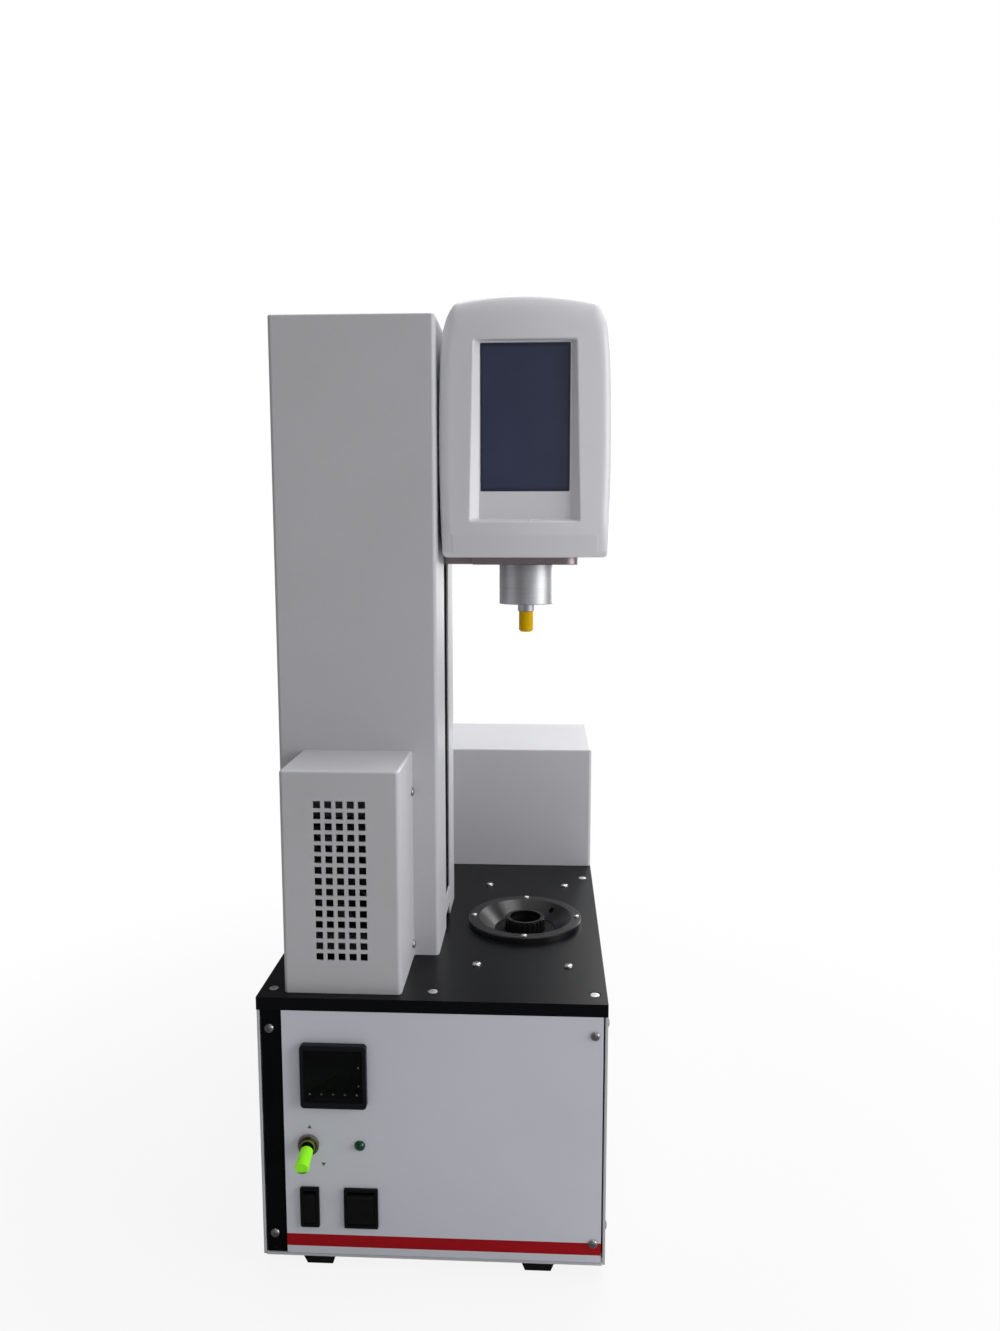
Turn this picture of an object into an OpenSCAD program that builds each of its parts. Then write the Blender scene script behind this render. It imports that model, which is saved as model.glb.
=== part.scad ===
// Rotational viscometer: a cooled sample well in a bench cabinet, a lift column beside it
// and a measuring head that the column lowers over the well.
// Millimetres. X runs to the right, Y to the back, Z up. The feet stand on Z = 0.

/* [Cabinet] */
// Width across the side covers
base_w = 252; // [250:1:270]
// Depth from the front panel to the rear panel
base_d = 437; // [430:1:470]
// Height of the cabinet between the feet and the top plate
cab_h = 191; // [186:1:220]
// Thickness of the top plate
lid_t = 9.5; // [8:0.5:12]
// How far the top plate stands out over the front panel
lid_over = 1; // [0.5:0.5:3]
// Thickness of the side covers
cover_t = 2; // [1:0.1:2.4]
// Thickness of the front and rear panels
panel_t = 3; // [2:0.5:4]
// Thickness of the printed front sheet
sheet_t = 0.8; // [0.5:0.1:1.2]
// Bare strip of panel to the left of the printed sheet
strip_w = 14.8; // [8:0.1:16]
// Gap between a panel edge and the side cover
panel_gap = 1.2; // [0.8:0.1:3]
// Thickness of the floor pan
pan_t = 2; // [1.5:0.5:3]
// Height of a foot
foot_h = 10; // [6:1:16]
// Half width of a square foot at the floor pan
foot_top_w = 12.6; // [11:0.1:14]
// Half width of a foot at the bench
foot_end_w = 9.5; // [8:0.1:10.5]
// Distance of the feet's middles from the cabinet ends
foot_inset = 14; // [14:0.5:30]
// Distance of the left feet's middles from the cabinet side
foot_left = 41; // [30:1:60]
// Distance of the right feet's middles from the cabinet side
foot_right = 49; // [30:1:60]

/* [Screws] */
// Head radius of the pan head screws
pan_head_r = 3.4; // [3:0.1:4]
// Head height of the pan head screws
pan_head_h = 2.2; // [1.5:0.1:2.5]
// Shank radius of the pan head screws
pan_shank_r = 2; // [1.5:0.1:2.2]
// Shank length of the pan head screws
pan_shank = 7; // [6:0.5:9]
// Distance of the panel screws from the cabinet edges
screw_edge = 9; // [8.5:0.5:10]
// Distance of the panel screws from the cabinet top
screw_drop = 14.2; // [10:0.1:20]
// Distance of the panel screws from the cabinet bottom
screw_rise = 17.3; // [12:0.1:22]
// Clearance of a screw in its hole
screw_play = 0.15; // [0.1:0.05:0.3]

/* [Temperature controller] */
// Side of the square front bezel
ctl_w = 48; // [46:0.5:50]
// How far the bezel stands out
ctl_proud = 4.6; // [3.5:0.1:7]
// Depth of the case behind the panel
ctl_deep = 78; // [60:1:95]
// Left edge of the bezel from the cabinet side
ctl_x = 31.6; // [28:0.1:40]
// Bottom edge of the bezel from the cabinet floor
ctl_z = 119; // [112:0.5:124]
// Width of a key
key_w = 6.2; // [5:0.1:7]
// Height of a key
key_h = 3.8; // [3:0.1:5]
// Distance from key to key
key_pitch = 8.5; // [8:0.1:9]
// Travel of a key
key_travel = 0.5; // [0.3:0.1:0.6]

/* [Switches] */
// Radius of the toggle bushing
bush_r = 6; // [5.8:0.1:6.4]
// How far the bushing stands out of the panel
bush_proud = 4.5; // [4:0.5:7]
// Radius of the toggle nut
nut_r = 7.8; // [7:0.1:9]
// Throw of the lever to each side, in degrees
toggle_throw = 12; // [8:1:13]
// Length of the lever from its pivot
lever_len = 22.8; // [20:0.1:30]
// Height of the toggle above the cabinet floor
toggle_z = 88.6; // [80:0.1:92]
// Width of the small rocker switch
rock_s_w = 14; // [13:0.5:16]
// Width of the large rocker switch
rock_l_w = 25; // [22:0.5:28]
// Height of both rocker switches
rock_h = 31; // [29:0.5:33]
// Swing of a rocker to each side, in degrees
rock_throw = 7; // [4:1:8]
// Height of the rocker switches above the cabinet floor
rock_z = 39.8; // [38:0.1:44]
// Radius of the indicator lamp's rim
lamp_r = 3.9; // [3.5:0.1:5]

/* [Sample well] */
// Radius of the funnel flange, as a share of the base width
ring_share = 0.1913; // [0.18:0.001:0.2]
// Thickness of the funnel flange
ring_t = 5.1; // [4:0.1:8]
// Radius of the funnel mouth, as a share of the flange's
mouth_share = 0.8195; // [0.77:0.005:0.84]
// Radius of the funnel floor, as a share of the mouth's
floor_share = 0.633; // [0.6:0.005:0.7]
// Radius of the bore that takes the test tube
well_r = 12.9; // [11:0.1:14]
// Depth of the bore in the cooling block
well_deep = 122; // [90:1:130]
// Side of the square cooling block, as a share of the base width
block_share = 0.2778; // [0.26:0.002:0.3]
// Height of the cooling block
block_h = 132; // [131:1:145]
// Depth of the bore for the temperature probe
probe_deep = 90; // [70:1:110]
// Outer radius of the ribbed collar
collar_r = 17; // [16:0.5:19]
// Number of ribs on the collar
collar_ribs = 24; // [16:1:36]
// Depth of the heat sinks
sink_d = 54; // [48:1:56]
// Width of the heat sinks, as a share of the base width
sink_share = 0.3572; // [0.34:0.001:0.372]
// Number of fins on a heat sink
fins = 9; // [5:1:12]
// Thickness of the thermoelectric modules
module_t = 4; // [3:0.5:5]

/* [Column] */
// Width of the column, as a share of the base width
col_share = 0.4901; // [0.47:0.001:0.495]
// Depth of the column
col_d = 129.5; // [126:0.5:140]
// Height of the column above the top plate
col_h = 489.5; // [480:0.5:530]
// Front of the column behind the front panel
col_y = 76.7; // [74:0.1:80]
// Sheet thickness of the column and the boxes
skin_t = 1.5; // [1:0.1:2]
// Outer bend radius of the folded sheet
bend_r = 3; // [2.2:0.1:4]
// Width of the slot for the lift arm
slot_w = 32; // [30:0.5:36]
// Height of the slot's lower end above the top plate
slot_z = 25.5; // [20:0.5:30]
// Height of the notch below the slot
notch_h = 11; // [8:0.5:14]
// Radius of the two guide rods
rod_r = 6; // [5:0.5:7]
// Distance between the guide rods, as a share of the column's width
rod_share = 0.5506; // [0.53:0.002:0.58]
// Radius of the lead screw
screw_r = 5; // [4:0.5:6]
// Height of the carriage
car_h = 60; // [50:1:64]

/* [Boxes] */
// Width of the fan box, as a share of the column's width
fan_box_share = 0.6907; // [0.685:0.001:0.72]
// Height of the fan box
fan_box_h = 164.2; // [150:0.1:175]
// Front of the fan box behind the front panel
fan_box_y = 7.3; // [4:0.1:10]
// Left edge of the fan box from the cabinet side, as a share of the column's width
fan_box_left = 0.1506; // [0.11:0.002:0.18]
// Side of a vent hole
vent_w = 5.3; // [3:0.1:6]
// Distance from vent hole to vent hole
vent_pitch = 8; // [7:0.1:8.2]
// Side of the square fans, as a share of the base width
fan_share = 0.3175; // [0.3:0.001:0.321]
// Depth of the fans
fan_d = 25; // [20:1:26]
// Depth of the rear box
rear_box_d = 137.6; // [130:0.1:145]
// Height of the rear box
rear_box_h = 119.7; // [80:0.1:130]

/* [Head] */
// Width of the head at its widest, as a share of the base width
head_share = 0.516; // [0.5:0.001:0.52]
// Height of the head
head_h = 191.5; // [185:0.5:200]
// Depth of the head
head_d = 120; // [116:1:126]
// Distance from the head's front to the spindle axis
head_front = 69; // [66:1:72]
// Gap between the column and the head
head_gap = 1.2; // [1:0.1:4]
// Wall of the head shells
shell_t = 3; // [2.4:0.1:3.4]
// Depth of the front shell
front_shell_d = 38; // [34:1:42]
// Width of the display
screen_w = 67.2; // [60:0.1:69]
// Height of the display
screen_h = 108.7; // [100:0.1:110]
// Height of the display above the head's underside
screen_rise = 49.5; // [47:0.5:52]
// How far the display lies behind the head's front
screen_sink = 8; // [7:0.5:9]
// Height of the base plate's underside above the top plate
plate_z = 306; // [300:0.5:312]
// Thickness of the base plate and the arm
plate_t = 6; // [5:0.5:7]
// Width of the lift arm
arm_w = 26; // [22:0.5:28]
// Radius of the spindle guard
guard_r = 22; // [19:0.5:23]
// Length of the spindle guard
guard_h = 32.5; // [26:0.5:36]
// Radius of the spindle coupling
hub_r = 6.8; // [6:0.1:8]
// Length of the spindle coupling
hub_h = 6.2; // [5:0.1:8]
// Radius of the protective cap
cap_r = 5.85; // [5:0.05:6.5]
// Length of the protective cap
cap_h = 17; // [15:0.5:20]
// Radius of the spindle shaft
shaft_r = 3; // [2.5:0.1:3.5]

/* [Hidden] */
$fn = 48;

// Clearances
fit = 0.3;          // between pieces that move past each other
run = 0.05;         // radial, of a shaft in its bore
eps = 0.1;          // how far a cut runs past a face

// Widths that follow the base width
col_w = base_w * col_share;
head_w = base_w * head_share;
ring_r = base_w * ring_share;
mouth_r = ring_r * mouth_share;
floor_r = mouth_r * floor_share;
block_w = base_w * block_share;
sink_w = base_w * sink_share;
fan_w = base_w * fan_share;
fan_box_w = col_w * fan_box_share;
fan_box_x = col_w * fan_box_left;
rod_pitch = col_w * rod_share;

// Cabinet
half_w = base_w / 2;
pan_z = foot_h;
lid_z = foot_h + cab_h;
top_z = lid_z + lid_t;
pan_x = half_w - cover_t - fit;
panel_x = half_w - cover_t - panel_gap;
sheet_x = -panel_x + strip_w;
front_leg = 16;     // of a corner post, along the panel
side_leg = 28;      // of a corner post, along the side cover
post_t = 2;
screw_zs = [pan_z + screw_rise, lid_z - screw_drop];
panel_screw_x = half_w - screw_edge;
side_screw_y = 20;
lid_screw_y = 14.5;
lid_screw_pitch = 249.5;
foot_xs = [-half_w + foot_left, half_w - foot_right];
foot_ys = [foot_inset, base_d - foot_inset];
foot_pin_r = 2;
foot_pin_h = pan_t + 1;
panel_z0 = pan_z + pan_t + fit;
shank_hole_r = pan_shank_r + screw_play;

// Upright vent slits: their width, height and the step from one to the next
slit_w = 3.5;
slit_h = cab_h * 0.24;
slit_step = 10;
slit_zs = [pan_z + cab_h * 0.22, pan_z + cab_h * 0.54];
slits = 12;
slit_y = base_d * 0.36;
rear_slits = 10;
rear_slit_x = 10;

// Column and lift
col_x0 = -half_w;
col_x1 = col_x0 + col_w;
col_y1 = col_y + col_d;
col_top = top_z + col_h;
lift_x = (col_x0 + col_x1) / 2;
lift_y = col_y + col_d * 0.5583;
slot_y0 = lift_y - slot_w / 2;
slot_y1 = lift_y + slot_w / 2;
slot_top = col_top - 12;
slot_cut = skin_t + 18;   // how far the slot's cut reaches into the column
frame_t = 8;        // end plates of the lift frame
spine_t = 6;        // back plate of the lift frame
frame_w = col_w * 0.81;
frame_front = col_d * 0.2;      // end plates, forward of the screw
frame_back = col_d * 0.2625;    // end plates, behind the screw
frame_top = col_top - skin_t - 6;
car_w = col_w * 0.7126;
car_front = col_d * 0.1313;
car_back = col_d * 0.1544;
pad_t = 8;          // pad of the arm on the carriage
pad_drop = 14;      // below the arm
pad_rise = 20;      // above it
nut_barrel_r = 11;
nut_flange_r = 17;
nut_flange_t = 5;
motor_w = 56.4;
motor_h = 54;
journal_r = 4;
seam_y = 10;

// Head
plate_z0 = top_z + plate_z;
plate_z1 = plate_z0 + plate_t;
head_x0 = col_x1 + head_gap;
spin_x = head_x0 + head_w / 2;
spin_y = 150;
head_y0 = spin_y - head_front;
head_y1 = head_y0 + head_d;
split_y = head_y0 + front_shell_d;
head_z0 = plate_z1;
plate_half = head_w * 0.3207;
plate_slit = 1.7;
plate_x0 = spin_x - plate_half;
arm_end = plate_x0 - plate_slit;
plate_round = 12;
tongue_t = 8;
tongue_w = 50;
tongue_half = head_w * 0.2795;
car_z = plate_z0 + plate_t / 2 - car_h / 2 + 4;
guard_z = plate_z0 - guard_h;
hub_z = guard_z - hub_h;
cap_z = hub_z - cap_h;
stub_r = 2.4;
sensor_h = 34;      // chamber of the torque sensor
sensor_r = 24.5;
sensor_wall = 3;
can_h = head_h * 0.3;
can_r = sensor_r * 0.86;
stem_r = 2;
motor_bore = sensor_h * 1.47;
screen_y = head_y0 + screen_sink;
screen_z0 = head_z0 + screen_rise;
recess_z0 = head_z0 + 27;
recess_z1 = screen_z0 + screen_h + 1.3;
glass_lip = 3;      // of the display's glass behind the recess
glass_t = 2;
case_lip = 5;       // of the display's case
case_t = 7;
recess_half0 = 37.7;
recess_half1 = 40.9;
riser_t = head_w * 0.1087;
side_bow = 2.3;     // how much narrower the head is at its foot
bow_h = 82;         // height of its widest place
head_round = 19;
foot_round = 4;
crown = 4.4;
roll_w = 9;         // width of the rolled front edge
roll_d = 6;         // depth of the rolled edges
chin_h = 16.4;
chin_d = 5;

// Sample well
block_z1 = lid_z - 0.1;
block_z0 = block_z1 - block_h;
well_z0 = block_z1 - well_deep;
funnel_floor_z = top_z - 6.3;
funnel_body_r = mouth_r + 1;
collar_top = top_z + 4.8;
collar_hole_r = collar_r + fit;
collar_bore_r = well_r + 0.4;
probe_r = 2;
probe_at = [block_w * 0.325, block_w * 0.361];
foam_t = (half_w - cover_t - spin_x - block_w / 2) * 0.55;
sink_base = 8;
sink_z0 = 60;
boss_w = 12;
sink_y0 = block_w / 2 + module_t;
block_screw_dx = sink_w * 0.392;
block_screw_dy = sink_y0 + sink_d - 3.5;
sink_fan_z = (sink_z0 + lid_z) / 2;
fin_t = 2;
module_w = block_h * 0.303;
module_zs = [block_z0 + module_w, block_z1 - module_w];
rib_w = 2.2;

// Controls
case_x0 = -half_w + ctl_x;
case_z0 = pan_z + ctl_z;
ctl_wall = 1.7;
window_drop = 3.9;  // sunk window: from the bezel's top
window_rise = 4.7;  // from its bottom
window_edge = 2.7;  // from its sides
window_sink = 0.8;
key_gap = 0.15;
key_deep = 4;
ctl_y = -sheet_t - ctl_proud;
key_z = case_z0 + 11.1;
key_proud = 0.6;
toggle_x = case_x0 + 4.3;
toggle_zz = pan_z + toggle_z;
toggle_pivot_y = -0.5;
sleeve_r0 = 3.6;
sleeve_r1 = 5;
sleeve_clear = sheet_t + bush_proud + toggle_pivot_y + fit;
sleeve_start = (sleeve_clear + sleeve_r0 * sin(toggle_throw)) / cos(toggle_throw);
ball_r = 4.3;
lever_r = 2.3;
lamp_x = case_x0 + ctl_w - 6.2;
rock_s_x = case_x0 + 4.2;
rock_l_x = case_x0 + 42;
rock_zz = pan_z + rock_z;
rock_bezel = 2;
rock_rim = 2.4;
rock_deep = 20;
rock_pivot_y = 2;

// Driver board
board_w = base_w * 0.397;
board_d = base_d * 0.183;
board_lift = 8;
board_t = 1.6;

// Power inlet
inlet_x = -panel_x + 42;
inlet_z = pan_z + 42;
inlet_w = 50;
inlet_h = 28;
inlet_flange = 3;
socket_w = 28;
socket_h = 20;
socket_d = 22;
socket_wall = 2;
socket_floor = 6;
pin_w = 2;
pin_h = 5;
pin_pitch = 7;
pin_back = 5;

// Boxes
fan_x0 = -half_w + fan_box_x;
fan_x1 = fan_x0 + fan_box_w;
fan_x = (fan_x0 + fan_x1) / 2;
fan_lift = 1.5;     // of the vents above the box's middle
fan_z = top_z + fan_box_h / 2 + fan_lift;
fan_screw_y = col_y - 6.7;
fan_screw_zs = [top_z + 12, top_z + fan_box_h - 30.5];
vent_cols = 5;
vent_rows = 15;
rear_y0 = base_d - rear_box_d;
supply_w = base_w * 0.794;
supply_d = rear_box_d * 0.712;
supply_h = rear_box_h * 0.418;

// Middle of the whole object, front to back: it stands over the origin
front_y = toggle_pivot_y - lever_len * cos(toggle_throw) - sleeve_r1 * sin(toggle_throw);
back_y = base_d + inlet_flange;
mid_y = (front_y + back_y) / 2;

module datum() {
    translate([0, -mid_y, 0]) children();
}

// Box between two corners
module span(lo, hi) {
    translate(lo) cube(hi - lo);
}

// Upright cylinder between two heights
module post(x, y, z0, z1, r) {
    translate([x, y, z0]) cylinder(h = z1 - z0, r = r);
}

// Cylinder that runs front to back
module peg(x, z, y0, y1, r) {
    translate([x, y1, z]) rotate([90, 0, 0]) cylinder(h = y1 - y0, r = r);
}

// Outline drawn as X and Z, extruded front to back
module front_cut(y0, y1) {
    translate([0, y1, 0]) rotate([90, 0, 0]) linear_extrude(y1 - y0) children();
}

// Outline drawn as Y and Z, extruded left to right
module side_cut(x0, x1) {
    translate([x0, 0, 0]) rotate([90, 0, 90]) linear_extrude(x1 - x0) children();
}

// Rectangle with round corners
module soft_rect(lo, hi, r) {
    translate([lo.x + r, lo.y]) square([hi.x - lo.x - 2 * r, hi.y - lo.y]);
    translate([lo.x, lo.y + r]) square([hi.x - lo.x, hi.y - lo.y - 2 * r]);
    for (x = [lo.x + r, hi.x - r], y = [lo.y + r, hi.y - r])
        translate([x, y]) circle(r);
}

// Folded sheet box standing on the top plate, open below
module sheet_box(x0, y0, x1, y1, z1, t) {
    translate([0, 0, top_z]) linear_extrude(z1 - top_z) difference() {
        soft_rect([x0, y0], [x1, y1], bend_r);
        soft_rect([x0 + t, y0 + t], [x1 - t, y1 - t], bend_r - t);
    }
    translate([0, 0, z1 - t]) linear_extrude(t) soft_rect([x0, y0], [x1, y1], bend_r);
}

// Pan head screw along +Z: the head sits on Z = 0, the shank goes down
module pan_screw(head_r, head_h, shank_r, shank) {
    rotate_extrude() polygon([
        [0, -shank], [shank_r, -shank], [shank_r, 0], [head_r, 0],
        [head_r, head_h * 0.45], [head_r * 0.8, head_h * 0.85], [head_r * 0.45, head_h],
        [head_r * 0.35, head_h], [head_r * 0.35, head_h * 0.5], [0, head_h * 0.5]]);
}

// Countersunk screw along +Z, its head flush with Z = 0
module flush_screw(head_r, shank_r, shank) {
    difference() {
        union() {
            translate([0, 0, -shank]) cylinder(h = shank, r = shank_r);
            translate([0, 0, shank_r - head_r]) cylinder(h = head_r - shank_r, r1 = shank_r, r2 = head_r);
        }
        translate([0, 0, -0.8]) cylinder(h = 1, r = head_r * 0.4, $fn = 6);
    }
}

// Axial fan frame, its air way along Y, centred on the origin
module fan_frame() {
    hub = fan_w * 0.22;
    difference() {
        front_cut(0, fan_d) soft_rect([-fan_w / 2, -fan_w / 2], [fan_w / 2, fan_w / 2], 4);
        peg(0, 0, -eps, fan_d + eps, fan_w / 2 - 2);
        for (x = [-1, 1], z = [-1, 1])
            peg(x * (fan_w / 2 - 4.3), z * (fan_w / 2 - 4.3), -eps, fan_d + eps, 2.2);
    }
    difference() {
        union() {
            peg(0, 0, fan_d - 3, fan_d, hub);
            for (a = [0:3]) rotate([0, a * 90 + 45, 0])
                span([0, fan_d - 3, -2], [fan_w / 2 - 1, fan_d, 2]);
        }
        peg(0, 0, fan_d - 3 - eps, fan_d + eps, 2 + run);
    }
}

// Fan rotor with its blades and stub shaft, in the same place as the frame
module fan_rotor() {
    hub = fan_w * 0.22;
    peg(0, 0, 2, fan_d - 3 - fit, hub);
    peg(0, 0, 4, fan_d - 0.5, 2);
    for (a = [0:6]) rotate([0, a * 360 / 7, 0]) translate([0, 11, 0]) rotate([0, 0, 32])
        span([-1, -8, hub - 2], [1, 8, fan_w / 2 - 4]);
}

// Cabinet pieces

module corner_post(sx, y_in, dir) {
    x1 = pan_x;
    span([sx > 0 ? x1 - front_leg : -x1, min(y_in, y_in + dir * post_t), pan_z],
        [sx > 0 ? x1 : front_leg - x1, max(y_in, y_in + dir * post_t), lid_z]);
    span([sx > 0 ? x1 - post_t : -x1, min(y_in, y_in + dir * side_leg), pan_z],
        [sx > 0 ? x1 : post_t - x1, max(y_in, y_in + dir * side_leg), lid_z]);
}

module side_screw_holes() {
    for (z = screw_zs, y = [side_screw_y, base_d - side_screw_y])
        translate([-half_w - eps, y, z]) rotate([0, 90, 0])
            cylinder(h = base_w + 2 * eps, r = shank_hole_r);
}

module panel_screw_holes() {
    for (x = [-1, 1], z = screw_zs)
        peg(x * panel_screw_x, z, -sheet_t - eps, base_d + eps, shank_hole_r);
}

module chassis() {
    color([0.82, 0.83, 0.84]) datum() difference() {
        union() {
            span([-pan_x, -sheet_t, pan_z], [pan_x, base_d, pan_z + pan_t]);
            for (sx = [-1, 1]) {
                corner_post(sx, panel_t, 1);
                corner_post(sx, base_d - panel_t, -1);
            }
        }
        side_screw_holes();
        panel_screw_holes();
        for (x = foot_xs, y = foot_ys)
            post(x, y, pan_z - eps, pan_z + pan_t + eps, foot_pin_r + screw_play);
    }
}

// Holes that the front panel and the printed sheet share
module control_cuts() {
    translate([case_x0 + ctl_wall, case_z0 + ctl_wall]) square(ctl_w - 2 * ctl_wall);
    translate([toggle_x, toggle_zz]) circle(bush_r + screw_play);
    translate([lamp_x, toggle_zz]) circle(lamp_r - 0.6);
    translate([rock_s_x - rock_s_w / 2 + 1.5, rock_zz - rock_h / 2 + 1.5])
        square([rock_s_w - 3, rock_h - 3]);
    translate([rock_l_x - rock_l_w / 2 + 1.5, rock_zz - rock_h / 2 + 1.5])
        square([rock_l_w - 3, rock_h - 3]);
}

module front_panel() {
    color([0.06, 0.06, 0.07]) datum() difference() {
        span([-panel_x, 0, panel_z0], [panel_x, panel_t, lid_z]);
        front_cut(-eps, panel_t + eps) control_cuts();
        panel_screw_holes();
    }
}

module front_sheet() {
    color([0.80, 0.81, 0.83]) datum() difference() {
        span([sheet_x, -sheet_t, panel_z0], [panel_x, 0, lid_z]);
        front_cut(-sheet_t - eps, eps) control_cuts();
        panel_screw_holes();
    }
}

module side_cover(sx) {
    difference() {
        span([sx > 0 ? half_w - cover_t : -half_w, 0, pan_z],
            [sx > 0 ? half_w : cover_t - half_w, base_d, lid_z]);
        side_screw_holes();
        for (i = [0:slits - 1], z = slit_zs) {
            y = slit_y + i * slit_step;
            span([-half_w - eps, y, z], [half_w + eps, y + slit_w, z + slit_h]);
        }
    }
}

module side_cover_left() {
    color([0.82, 0.83, 0.84]) datum() side_cover(-1);
}

module side_cover_right() {
    color([0.82, 0.83, 0.84]) datum() side_cover(1);
}

module lid_screw_spots() {
    for (x = [-1, 0, 1]) translate([x * panel_screw_x, lid_screw_y, top_z]) children();
    for (x = [-1, 1]) translate([x * panel_screw_x, lid_screw_y + lid_screw_pitch, top_z]) children();
}

module block_screw_spots() {
    for (x = [-1, 1], y = [-1, 1])
        translate([spin_x + x * block_screw_dx, spin_y + y * block_screw_dy, top_z]) children();
}

module top_plate() {
    color([0.07, 0.07, 0.08]) datum() difference() {
        span([-half_w, -lid_over, lid_z], [half_w, base_d, top_z]);
        post(spin_x, spin_y, lid_z - eps, top_z + eps, funnel_body_r + 0.2);
        post(lift_x, lift_y, lid_z - eps, top_z + eps, screw_r + 3);
        span([lift_x - 20, fan_box_y + 20, lid_z - eps], [lift_x + 20, fan_box_y + 56, top_z + eps]);
        span([-60, base_d - 60, lid_z - eps], [60, base_d - 20, top_z + eps]);
        lid_screw_spots() {
            translate([0, 0, -lid_t - eps]) cylinder(h = lid_t + 2 * eps, r = shank_hole_r);
            translate([0, 0, -2.2]) cylinder(h = 2.3, r1 = shank_hole_r, r2 = shank_hole_r + 2.3);
        }
        block_screw_spots() translate([0, 0, -lid_t - eps]) cylinder(h = lid_t + 2 * eps, r = shank_hole_r);
        for (a = [0:3]) translate([spin_x, spin_y, 0]) rotate([0, 0, a * 90])
            post(ring_r - 4.4, 0, lid_z - eps, top_z + eps, 1.7);
    }
}

module rear_panel() {
    color([0.80, 0.81, 0.83]) datum() difference() {
        span([-panel_x, base_d - panel_t, panel_z0], [panel_x, base_d, lid_z]);
        front_cut(base_d - panel_t - eps, base_d + eps) {
            translate([inlet_x - socket_w / 2 - fit, inlet_z - socket_h / 2 - fit])
                square([socket_w + 2 * fit, socket_h + 2 * fit]);
            for (i = [0:rear_slits - 1], z = slit_zs)
                translate([rear_slit_x + i * slit_step, z]) square([slit_w, slit_h]);
        }
        panel_screw_holes();
    }
}

// Side of a foot, narrower at the bench
module foot_side() {
    polygon([[-foot_end_w, 0], [foot_end_w, 0], [foot_top_w, foot_h], [-foot_top_w, foot_h]]);
}

module feet() {
    color([0.05, 0.05, 0.05]) datum() for (x = foot_xs, y = foot_ys) {
        intersection() {
            translate([x, 0, 0]) front_cut(y - foot_top_w, y + foot_top_w) foot_side();
            translate([0, y, 0]) side_cut(x - foot_top_w, x + foot_top_w) foot_side();
        }
        post(x, y, foot_h - eps, foot_h + foot_pin_h, foot_pin_r);
    }
}

module pan_screws() {
    color("silver") datum() {
        for (x = [-1, 1], z = screw_zs) {
            y0 = x < 0 ? 0 : -sheet_t;
            translate([x * panel_screw_x, y0, z]) rotate([90, 0, 0])
                pan_screw(pan_head_r, pan_head_h, pan_shank_r, pan_shank);
            translate([x * panel_screw_x, base_d, z]) rotate([-90, 0, 0])
                pan_screw(pan_head_r, pan_head_h, pan_shank_r, pan_shank);
        }
        for (z = screw_zs, y = [side_screw_y, base_d - side_screw_y]) {
            translate([half_w, y, z]) rotate([0, 90, 0])
                pan_screw(pan_head_r, pan_head_h, pan_shank_r, pan_shank);
            translate([-half_w, y, z]) rotate([0, -90, 0])
                pan_screw(pan_head_r, pan_head_h, pan_shank_r, pan_shank);
        }
        block_screw_spots() pan_screw(pan_head_r, pan_head_h, pan_shank_r, lid_t + 8);
        fan_box_screw_spots() pan_screw(pan_head_r, pan_head_h, pan_shank_r, 5);
    }
}

module countersunk_screws() {
    color("silver") datum() lid_screw_spots() flush_screw(pan_shank_r + 2, pan_shank_r, lid_t - 0.5);
}

module ring_screws() {
    color("silver") datum() for (a = [0:3]) translate([spin_x, spin_y, top_z + ring_t])
        rotate([0, 0, a * 90]) translate([ring_r - 4.4, 0, 0]) pan_screw(2.5, 1.6, 1.5, ring_t + 6);
}

// Controls

module controller_case() {
    color([0.10, 0.10, 0.11]) datum() difference() {
        union() {
            front_cut(ctl_y, -sheet_t) soft_rect([case_x0, case_z0], [case_x0 + ctl_w, case_z0 + ctl_w], 3);
            span([case_x0 + ctl_wall + fit / 2, -sheet_t, case_z0 + ctl_wall + fit / 2],
                [case_x0 + ctl_w - ctl_wall - fit / 2, ctl_deep, case_z0 + ctl_w - ctl_wall - fit / 2]);
        }
        span([case_x0 + window_edge, ctl_y - eps, case_z0 + window_rise],
            [case_x0 + ctl_w - window_edge, ctl_y + window_sink, case_z0 + ctl_w - window_drop]);
        for (i = [0:4]) translate([key_x(i), 0, key_z])
            span([-key_w / 2 - key_gap, ctl_y - eps, -key_h / 2 - key_gap],
                [key_w / 2 + key_gap, ctl_y + key_deep, key_h / 2 + key_gap]);
    }
}

function key_x(i) = case_x0 + ctl_w / 2 + (i - 2) * key_pitch;

// The key stands proud of the sunk window and has its travel free behind it
module key(i) {
    color([0.16, 0.16, 0.17]) datum()
        span([key_x(i) - key_w / 2, ctl_y + window_sink - key_proud, key_z - key_h / 2],
            [key_x(i) + key_w / 2, ctl_y + key_deep - key_travel - 0.2, key_z + key_h / 2]);
}

module controller_key_1() { key(0); }
module controller_key_2() { key(1); }
module controller_key_3() { key(2); }
module controller_key_4() { key(3); }
module controller_key_5() { key(4); }

module toggle_body() {
    color([0.75, 0.72, 0.62]) datum() difference() {
        union() {
            peg(toggle_x, toggle_zz, -sheet_t - bush_proud, panel_t, bush_r);
            span([toggle_x - 8, panel_t, toggle_zz - 14], [toggle_x + 8, panel_t + 20, toggle_zz + 14]);
            for (z = [-9, 0, 9]) span([toggle_x - 3, panel_t + 20, toggle_zz + z - 0.5],
                [toggle_x + 3, panel_t + 29, toggle_zz + z + 0.5]);
        }
        peg(toggle_x, toggle_zz, -sheet_t - bush_proud - eps, 6, ball_r + fit);
    }
}

module toggle_nut() {
    color([0.78, 0.72, 0.55]) datum() difference() {
        peg(toggle_x, toggle_zz, -sheet_t - 2.6, -sheet_t, nut_r);
        peg(toggle_x, toggle_zz, -sheet_t - 2.6 - eps, -sheet_t + eps, bush_r + run);
    }
}

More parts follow.
